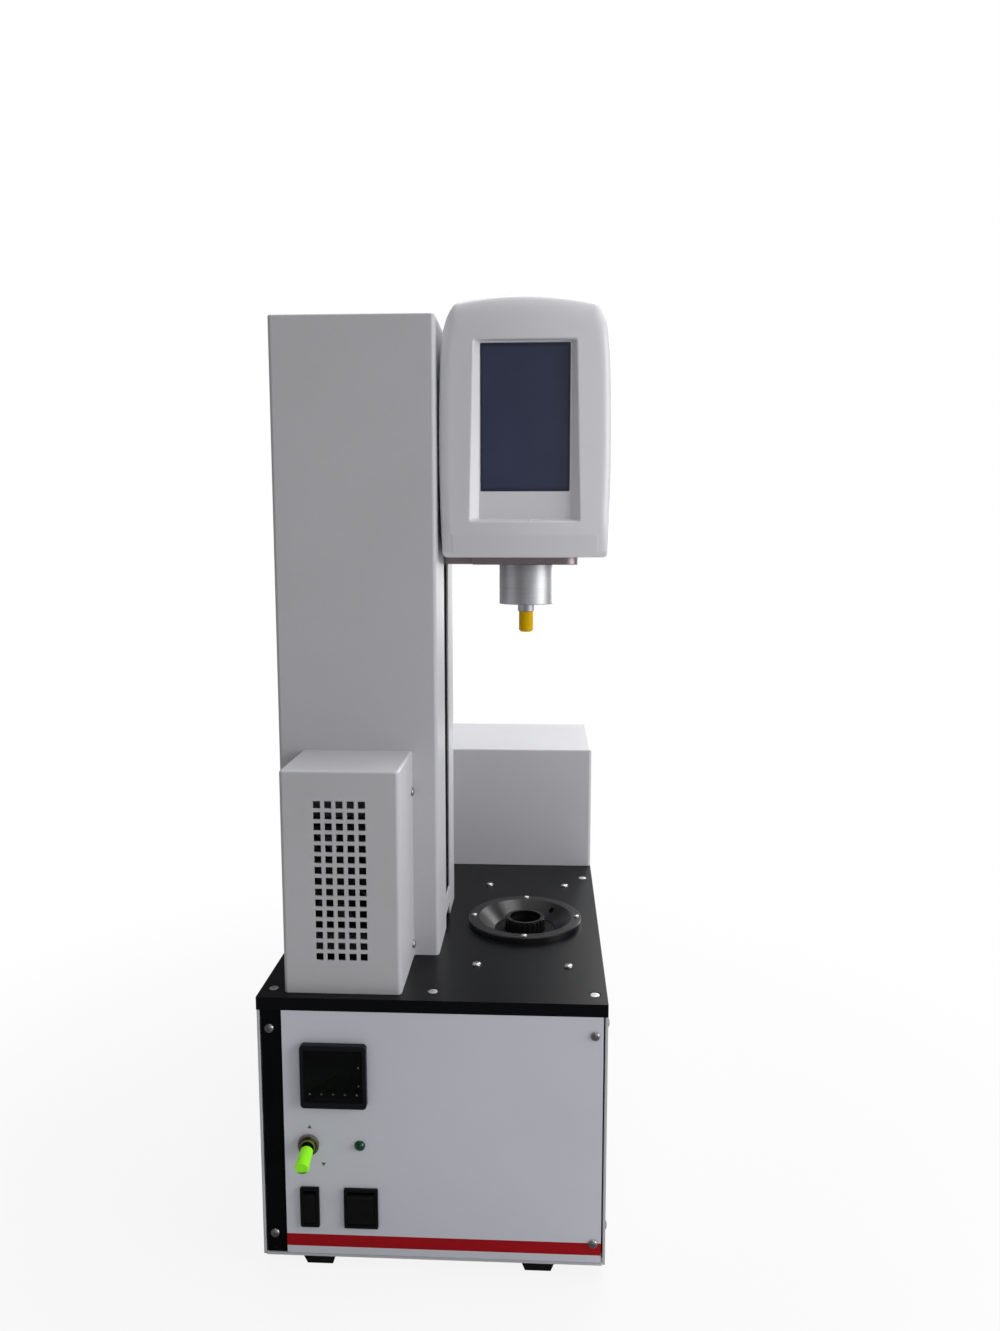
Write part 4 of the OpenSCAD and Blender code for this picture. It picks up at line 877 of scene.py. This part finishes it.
def screw_head(name, radius, height):
    """Domed head with a cross recess, standing on the origin."""
    profile = [(radius * 0.98, 0), (radius, height * 0.2), (radius * 0.95, height * 0.5),
               (radius * 0.78, height * 0.76), (radius * 0.5, height * 0.93), (radius * 0.2, height)]
    ob = turned_piece(name, profile, 28)
    cross_recess(ob, radius * 0.98, radius * 0.24, height * 0.95, height * 0.4)
    smooth(ob, 32)
    return ob


def scattered(ob, spots, node, finish=None):
    """Copies of a screw at its places and turns, as one piece that replaces a CAD node."""
    name = ob.name
    copies = [placed_copy(ob, place, turn) for place, turn in spots]
    bpy.data.objects.remove(ob)
    settle(joined(copies, name), "cabinet", "screw_steel", finish, (node,))


class VISCOMETER_OT_screws(bpy.types.Operator):
    """Screws of the cabinet, the boxes and the funnel ring"""

    bl_idname = "viscometer.screws"
    bl_label = "Screws"

    def execute(self, context):
        up, front, back = (0, 0, 0.5), (pi / 2, 0, 0), (-pi / 2, 0, 0)
        right, left = (0, pi / 2, 0), (0, -pi / 2, 0)
        heights = (27.3, 186.8)
        low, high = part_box("fan_box")
        spots = [(at(FRONT_SCREW_X, -SHEET_THICK, z), front) for z in heights]
        spots += [(at(-FRONT_SCREW_X, 0, z), front) for z in heights]
        spots += [(at(x, CABINET_DEPTH, z), back) for x in (-FRONT_SCREW_X, FRONT_SCREW_X) for z in heights]
        for y in (SIDE_SCREW_IN, CABINET_DEPTH - SIDE_SCREW_IN):
            spots += [(at(CABINET_HALF, y, z), right) for z in heights]
            spots += [(at(-CABINET_HALF, y, z), left) for z in heights]
        spots += [(Vector((SPIN.x + x * MM, SPIN.y + y * MM, TOP_Z)), up)
                  for x in (-35.3, 35.3) for y in (-89.5, 89.5)]
        for x, turn in ((high.x, right), (low.x, left)):
            spots += [(Vector((x, at(0, BOX_SCREW_IN, 0).y, z * MM)), turn) for z in (222.5, 344.2)]
        scattered(screw_head("pan_screw_heads", 3.4, 2.2), spots, "pan_screws")
        radius, rim, crest = 3.4, 6.15, 6.25
        flush = turned_piece("flush_screw_heads", [(1.7, 0), (1.7, 4), (radius, 5.7), (radius, 6.0),
                                                   (2.4, rim), (0.3, crest)], 28)
        cross_recess(flush, radius * 0.8, 0.7, crest, 0.5)
        smooth(flush, 32)
        spots = [(at(x, y, TOP_Z / MM - rim), (0, 0, 0.4 + x * 0.01 + y * 0.02))
                 for x, y in ((-117, 14.5), (0, 14.5), (117, 14.5), (-117, 264), (117, 264))]
        scattered(flush, spots, "countersunk_screws", "flush_steel")
        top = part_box("funnel_ring")[1].z
        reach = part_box("funnel_ring")[1].x - SPIN.x - 4.4 * MM
        spots = [(Vector((SPIN.x + reach * cos(a * pi / 2), SPIN.y + reach * sin(a * pi / 2), top)),
                  (0, 0, 0.6 + a)) for a in range(4)]
        scattered(screw_head("ring_screw_heads", 2.5, 1.6), spots, "ring_screws")
        return {"FINISHED"}


def mark(name, sides, place, size, turn, thick=0.00012):
    """A small flat mark on an upright face: three sides for an arrow, more for a dot."""
    nothing_selected()
    bpy.ops.mesh.primitive_cylinder_add(vertices=sides, radius=size, depth=thick, location=(0, 0, 0))
    ob = bpy.context.object
    ob.name = name
    edit(ob)
    bpy.ops.mesh.bevel(offset=thick * 0.25, segments=1, affect="EDGES")
    object_mode()
    ob.rotation_euler = (pi / 2, turn, 0)
    ob.location = place
    return ob


class VISCOMETER_OT_controller(bpy.types.Operator):
    """Temperature controller: bezel, dark window, key marks and pointer marks"""

    bl_idname = "viscometer.controller"
    bl_label = "Temperature controller"

    def execute(self, context):
        soften("controller_case", "cabinet", "black_plastic", 0.0006, 3, 35, "bezel_sheen")
        low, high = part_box("controller_case")
        side = high.x - low.x
        keys = [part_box(f"controller_key_{i}") for i in range(1, 6)]
        face = keys[0][0].y
        gap = Vector((0.2 * MM, 1 * MM, 0.2 * MM))
        start = Vector((low.x + 3 * MM, face - 0.02 * MM, low.z + 5 * MM))
        stop = Vector((low.x + side - 3 * MM, face + 0.58 * MM, low.z + side - 4.2 * MM))
        pane = plain_box("controller_window", start, stop, 0.0001, 1)
        for box in keys:
            cutter = plain_box("cutter", box[0] - gap, box[1] + gap, 0.00001, 1)
            modify(pane, "BOOLEAN", operation="DIFFERENCE", solver="EXACT", object=cutter)
            bpy.data.objects.remove(cutter)
        settle(pane, "cabinet", "black_plastic", "dark_window")
        tab = plain_box("controller_latch", Vector((low.x + 14 * MM, low.y + 0.02 * MM, low.z + 0.4 * MM)),
                        Vector((low.x + side - 14 * MM, low.y + 0.6 * MM, low.z + 2.7 * MM)), 0.0001, 1)
        settle(tab, "cabinet", "black_plastic", "dark_window")
        shapes = ((4, 0.0, 0.0009), (3, pi / 2, 0.0010), (3, pi, 0.0010), (3, 0.0, 0.0010), (12, 0.0, 0.0008))
        for i, (box, (sides, turn, size)) in enumerate(zip(keys, shapes), 1):
            middle = (box[0] + box[1]) / 2
            sign = mark(f"key_mark_{i}", sides, Vector((middle.x, face - 0.00003, middle.z)), size, turn)
            settle(sign, f"key_{i}", "grey_plastic", "mark_grey")
        pointers = []
        for i, z in enumerate((31.8, 18.0)):
            place = Vector((low.x + side - 5.6 * MM, face - 0.00005, low.z + z * MM))
            pointers.append(mark(f"pointer_mark_{i}", 4, place, 0.0008, pi / 4))
        settle(joined(pointers, "pointer_marks"), "cabinet", "grey_plastic", "mark_grey")
        return {"FINISHED"}


class VISCOMETER_OT_switches(bpy.types.Operator):
    """Toggle, lamp, rocker switches and their plain arrows"""

    bl_idname = "viscometer.switches"
    bl_label = "Switches"

    def execute(self, context):
        edge = context.scene.viscometer_shapes.break_edge
        soften("toggle_body", "cabinet", "bushing_metal", edge * 0.6, whole_faces=False)
        soften("toggle_nut", "cabinet", "bushing_metal", edge)
        soften("toggle_lever", "toggle", "steel", edge * 0.3, 1, finish="black_plastic")
        sleeve = cad_copy("toggle_sleeve", "toggle_sleeve_dressed")
        lean, flare = radians(12), 0.24  # the sleeve's lean at rest, and how much it widens at its start
        along = Vector((0, -cos(lean), -sin(lean)))
        reach = [v.co.dot(along) for v in sleeve.data.vertices]
        near, far = min(reach), max(reach)
        ends = [sum((v.co for v, r in zip(sleeve.data.vertices, reach) if abs(r - stop) < 0.0004), Vector())
                / sum(abs(r - stop) < 0.0004 for r in reach) for stop in (near, far)]
        for v, r in zip(sleeve.data.vertices, reach):
            middle = ends[0].lerp(ends[1], (r - near) / (far - near))
            v.co = middle + (v.co - middle) * (1 + flare * (far - r) / (far - near))
        modify(sleeve, "BEVEL", width=edge * 1.6, segments=3, limit_method="ANGLE", angle_limit=radians(35))
        smooth(sleeve)
        settle(sleeve, "toggle", "lime_sleeve", None, ("toggle_sleeve",))
        soften("indicator_lamp", "cabinet", "green_lens", edge * 0.4)
        for size in ("small", "large"):
            soften(f"{size}_rocker_case", "cabinet", "black_plastic", edge * 0.8, whole_faces=False)
            soften(f"{size}_rocker", f"rocker_{size}", "black_plastic", edge * 0.8, whole_faces=False)
        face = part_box("front_sheet")[0].y
        arrows = [mark("arrow_up", 3, Vector((-0.0893, face, 0.1118)), 0.0019, 0.0),
                  mark("arrow_down", 3, Vector((-0.0795, face, 0.0834)), 0.0019, pi)]
        settle(joined(arrows, "lift_arrows"), "cabinet", "grey_plastic", "mark_dark")
        return {"FINISHED"}


class VISCOMETER_OT_well(bpy.types.Operator):
    """Funnel ring and ribbed collar of the sample well"""

    bl_idname = "viscometer.well"
    bl_label = "Sample well"

    def execute(self, context):
        soften("funnel_ring", "cabinet", "black_plastic", 0.0004, 2, 30, "funnel_black")
        soften("tube_collar", "collar", "black_plastic", 0.0002, 1, 40, "collar_black")
        return {"FINISHED"}


class VISCOMETER_OT_covers(bpy.types.Operator):
    """Folded sheet covers: column, fan box and rear box"""

    bl_idname = "viscometer.covers"
    bl_label = "Folded covers"

    def execute(self, context):
        fold = context.scene.viscometer_shapes.fold
        # the column's top reaches back past its sides, so its fold stays thinner than the sheet
        folded("column_front_shell", "column_cover", "cabinet", fold * 0.6)
        folded("fan_box", "fan_cover", "cabinet", fold, True)
        folded("rear_box", "rear_cover", "cabinet", fold)
        soften("column_rear_shell", "cabinet", "white_paint", 0.0003, 1)
        return {"FINISHED"}


class VISCOMETER_OT_head(bpy.types.Operator):
    """Measuring head: front shell with its sunk frame, rear shell and display"""

    bl_idname = "viscometer.head"
    bl_label = "Measuring head"

    def execute(self, context):
        shapes = context.scene.viscometer_shapes
        roll, deep, chin, crown = shapes.head_side / MM, shapes.head_drop, shapes.chin / MM, shapes.crown
        front, seam, back = HEAD_LOW.y, HEAD_HIGH.y, HEAD_REAR
        chin_back = 6.5 * MM  # how far the chin falls back at its foot

        def ring(inset, y, foot):
            return upright(head_ring(inset, inset * 2.4, foot), y, chin, chin_back, crown)

        rings = seam_rings(seam, -1)
        rings.append(upright(head_ring(0, 0, 0), front + deep + 4 * MM, crown=crown))
        for step in range(9):
            a = radians(step * 90 / 8)
            inset = roll * (1 - cos(a))
            rings.append(ring(inset, front + deep * (1 - sin(a)), inset * 0.35))
        for inset, foot in ((0.6, -0.5), (1.0, 0.2), (1.6, 1.2)):
            rings.append(ring(roll + inset, front, chin + foot))
        for grow, y in ((1.6, 0), (0.7, 0.15), (0.1, 0.6), (-0.4, 1.5)):
            rings.append(upright(frame_ring(RECESS_MOUTH, grow, 2.2), front + y * MM, crown=crown))
        for grow, y in ((0.5, 6.9), (0.15, 7.3), (-0.1, 7.5)):
            rings.append(upright(frame_ring(RECESS_FLOOR, grow, 1.4), front + y * MM))
        for grow, y in ((0.2, 7.6), (0, 7.9), (0, 10.6)):
            rings.append(upright(frame_ring(SCREEN_OPENING, grow, 1.0), front + y * MM))
        shell = loft("head_front", rings)
        smooth(shell, 40)
        nub = turned_piece("nub", [(1.5, 0), (1.4, 0.5), (1.0, 0.9), (0.3, 1.05)], 20)
        nub.location = Vector((NUB_X * MM, front + NUB_IN * MM, NUB_Z * MM))
        settle(joined([shell, nub], "head_front"), "lift", "white_plastic", None, ("head_front_shell",))

        back_round = 9.0  # the rounding of the head's back edges, in millimetres
        rings = seam_rings(seam, 1)
        rings.append(upright(head_ring(0, 0, 0), back - (back_round + 3) * MM))
        for step in range(8):
            a = radians(step * 90 / 7)
            inset = back_round * (1 - cos(a))
            rings.append(upright(head_ring(inset, inset, inset * 0.5), back - back_round * MM * (1 - sin(a))))
        shell = loft("head_rear", rings)
        smooth(shell, 40)
        settle(shell, "lift", "white_plastic", None, ("head_rear_shell",))

        half, foot = SCREEN_OPENING[0] - DISPLAY_GAP, SCREEN_OPENING[2] + DISPLAY_GAP
        top = SCREEN_OPENING[3] - DISPLAY_GAP
        start = Vector((HEAD_X - half * MM, front + DISPLAY_FRONT * MM, HEAD_LOW.z + foot * MM))
        stop = Vector((HEAD_X + half * MM, front + DISPLAY_BACK * MM, HEAD_LOW.z + top * MM))
        glass = plain_box("display", start, stop, 0.3 * MM)
        settle(glass, "lift", "display_glass", None, ("display_panel",))
        return {"FINISHED"}


class VISCOMETER_OT_spindle(bpy.types.Operator):
    """Lift arm, base plate, guard, coupling and protective cap"""

    bl_idname = "viscometer.spindle"
    bl_label = "Spindle group"

    def execute(self, context):
        edge = context.scene.viscometer_shapes.break_edge
        soften("lift_arm", "lift", "plate_metal", edge)
        soften("head_base_plate", "lift", "plate_metal", edge * 1.4, 3)
        soften("spindle_guard", "lift", "aluminium", edge, 3, 35, "guard_metal")
        soften("spindle_shaft", "spindle", "steel", edge * 0.8, 2, 35, "guard_metal")
        soften("spindle_cap", "cap", "yellow_plastic", edge * 0.8, 3)
        return {"FINISHED"}


class VISCOMETER_OT_inlet(bpy.types.Operator):
    """Mains inlet with its three pins"""

    bl_idname = "viscometer.inlet"
    bl_label = "Mains inlet"

    def execute(self, context):
        soften("power_inlet", "cabinet", "black_plastic", 0.0004)
        low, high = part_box("power_inlet")
        middle = (low + high) / 2
        pins = []
        for x, lift in ((-7, 0), (0, 2), (7, 0)):
            start = Vector((middle.x + (x - 1.1) * MM, high.y - 19.9 * MM, middle.z + (lift - 2.6) * MM))
            stop = Vector((middle.x + (x + 1.1) * MM, high.y - 7.9 * MM, middle.z + (lift + 2.6) * MM))
            pins.append(plain_box("pin", start, stop, 0.0004))
        settle(joined(pins, "inlet_pins"), "cabinet", "brass", "screw_steel")
        return {"FINISHED"}


class VISCOMETER_OT_stage(bpy.types.Operator):
    """Floor, surround, lamps and camera"""

    bl_idname = "viscometer.stage"
    bl_label = "Stage"

    def execute(self, context):
        stage = context.scene.viscometer_stage
        nothing_selected()
        bpy.ops.mesh.primitive_plane_add(size=60, location=(0, 0, -0.0002))
        floor = bpy.context.object
        floor.name = "floor"
        floor.data.materials.append(floor_finish())
        lamps = (("key_lamp", stage.key, 1.5, (0.35, 0.25, 2.3), (0, 0, 0.3)),
                 ("side_lamp", stage.side, 1.2, (2.0, -0.85, 0.8), (0, 0, 0.35)),
                 ("front_lamp", stage.front, 1.2, (0.7, -2.5, 0.8), (0, 0, 0.3)),
                 ("back_lamp", stage.back, 0.6, (0.5, 0.8, 0.65), (0.05, -0.05, 0.2)))
        for name, power, size, place, target in lamps:
            data = bpy.data.lights.new(name, "AREA")
            data.energy = power
            data.size = size
            lamp = bpy.data.objects.new(name, data)
            context.scene.collection.objects.link(lamp)
            lamp.location = place
            lamp.rotation_euler = (Vector(target) - Vector(place)).to_track_quat("-Z", "Y").to_euler()
        surround(context.scene, stage.sky, stage.gleam)
        data = bpy.data.cameras.new("camera")
        data.lens = stage.lens
        data.sensor_width = 36
        camera = bpy.data.objects.new("camera", data)
        context.scene.collection.objects.link(camera)
        camera.location = stage.eye
        camera.rotation_euler = (pi / 2 - stage.tilt, 0, stage.pan)
        context.scene.camera = camera
        context.scene.view_settings.view_transform = "Standard"
        return {"FINISHED"}


def ray(tree, *kinds):
    """1 for any of the named kinds of ray, otherwise 0."""
    path = tree.nodes.new("ShaderNodeLightPath")
    share = Wire(tree, path.outputs[kinds[0]])
    for kind in kinds[1:]:
        share = share.maths("MAXIMUM", share, Wire(tree, path.outputs[kind]))
    return share


def mixed(tree, share, first, second):
    """Two shaders mixed by a wire."""
    mix = tree.nodes.new("ShaderNodeMixShader")
    tree.links.new(share.socket, mix.inputs[0])
    tree.links.new(first, mix.inputs[1])
    tree.links.new(second, mix.inputs[2])
    return mix.outputs[0]


def surround(scene, strength, gleam):
    """Even pale light: dim in reflections and white behind the object."""
    world = bpy.data.worlds.new("surround")
    world.use_nodes = True
    tree = world.node_tree
    tree.nodes.clear()
    skies = []
    for level in (strength, gleam, 1.0):
        sky = tree.nodes.new("ShaderNodeBackground")
        sky.inputs["Color"].default_value = (1, 1, 1, 1)
        sky.inputs["Strength"].default_value = level
        skies.append(sky.outputs[0])
    soft = mixed(tree, ray(tree, "Is Glossy Ray"), skies[0], skies[1])
    out = tree.nodes.new("ShaderNodeOutputWorld")
    behind = ray(tree, "Is Camera Ray", "Is Transmission Ray")
    tree.links.new(mixed(tree, behind, soft, skies[2]), out.inputs["Surface"])
    scene.world = world


def floor_finish():
    """Plain pale floor that keeps a soft shadow near the object and turns white further out."""
    f = Finish("pale_floor")
    f.surface(Base_Color=(0.5, 0.5, 0.5), Roughness=0.9, Specular_IOR_Level=0.1)
    glow = f.tree.nodes.new("ShaderNodeEmission")
    dim = f.tree.nodes.new("ShaderNodeEmission")
    dim.inputs["Strength"].default_value = 0.03
    out = next(n for n in f.tree.nodes if n.type == "OUTPUT_MATERIAL")
    away = f.node("ShaderNodeVectorMath", {"operation": "LENGTH"}, Vector=f.place())
    white = f.node("ShaderNodeMapRange", {"interpolation_type": "SMOOTHSTEP"}, Value=away,
                   From_Min=0.3, From_Max=0.75, To_Min=0.88, To_Max=1.0)
    share = white * ray(f.tree, "Is Camera Ray")
    ground = mixed(f.tree, ray(f.tree, "Is Glossy Ray") * 0.75, f.shader.outputs[0], dim.outputs[0])
    f.tree.links.new(mixed(f.tree, share, ground, glow.outputs[0]), out.inputs["Surface"])
    return f.material


class VISCOMETER_PT_pieces(bpy.types.Panel):
    """Lists the pieces and their values"""

    bl_idname = "VISCOMETER_PT_pieces"
    bl_label = "Viscometer"
    bl_space_type = "VIEW_3D"
    bl_region_type = "UI"
    bl_category = "Viscometer"

    def draw(self, context):
        column = self.layout.column(align=True)
        for operator in OPERATORS:
            column.operator(operator.bl_idname)
        for group in GROUPS:
            values = getattr(context.scene, GROUPS[group])
            for name in group.__annotations__:
                self.layout.prop(values, name)


OPERATORS = (VISCOMETER_OT_finishes, VISCOMETER_OT_cabinet, VISCOMETER_OT_top_plate,
             VISCOMETER_OT_screws, VISCOMETER_OT_controller, VISCOMETER_OT_switches,
             VISCOMETER_OT_well, VISCOMETER_OT_covers, VISCOMETER_OT_head,
             VISCOMETER_OT_spindle, VISCOMETER_OT_inlet, VISCOMETER_OT_stage)
GROUPS = {ViscometerFinishes: "viscometer_finishes", ViscometerShapes: "viscometer_shapes",
          ViscometerStage: "viscometer_stage"}


def register():
    for group, name in GROUPS.items():
        bpy.utils.register_class(group)
        setattr(bpy.types.Scene, name, bpy.props.PointerProperty(type=group))
    for part in (*OPERATORS, VISCOMETER_PT_pieces):
        bpy.utils.register_class(part)


def unregister():
    for part in (VISCOMETER_PT_pieces, *reversed(OPERATORS)):
        bpy.utils.unregister_class(part)
    for group, name in GROUPS.items():
        delattr(bpy.types.Scene, name)
        bpy.utils.unregister_class(group)


def main():
    register()
    for operator in OPERATORS:
        group, name = operator.bl_idname.split(".")
        getattr(getattr(bpy.ops, group), name)()


if __name__ == "__main__":
    main()
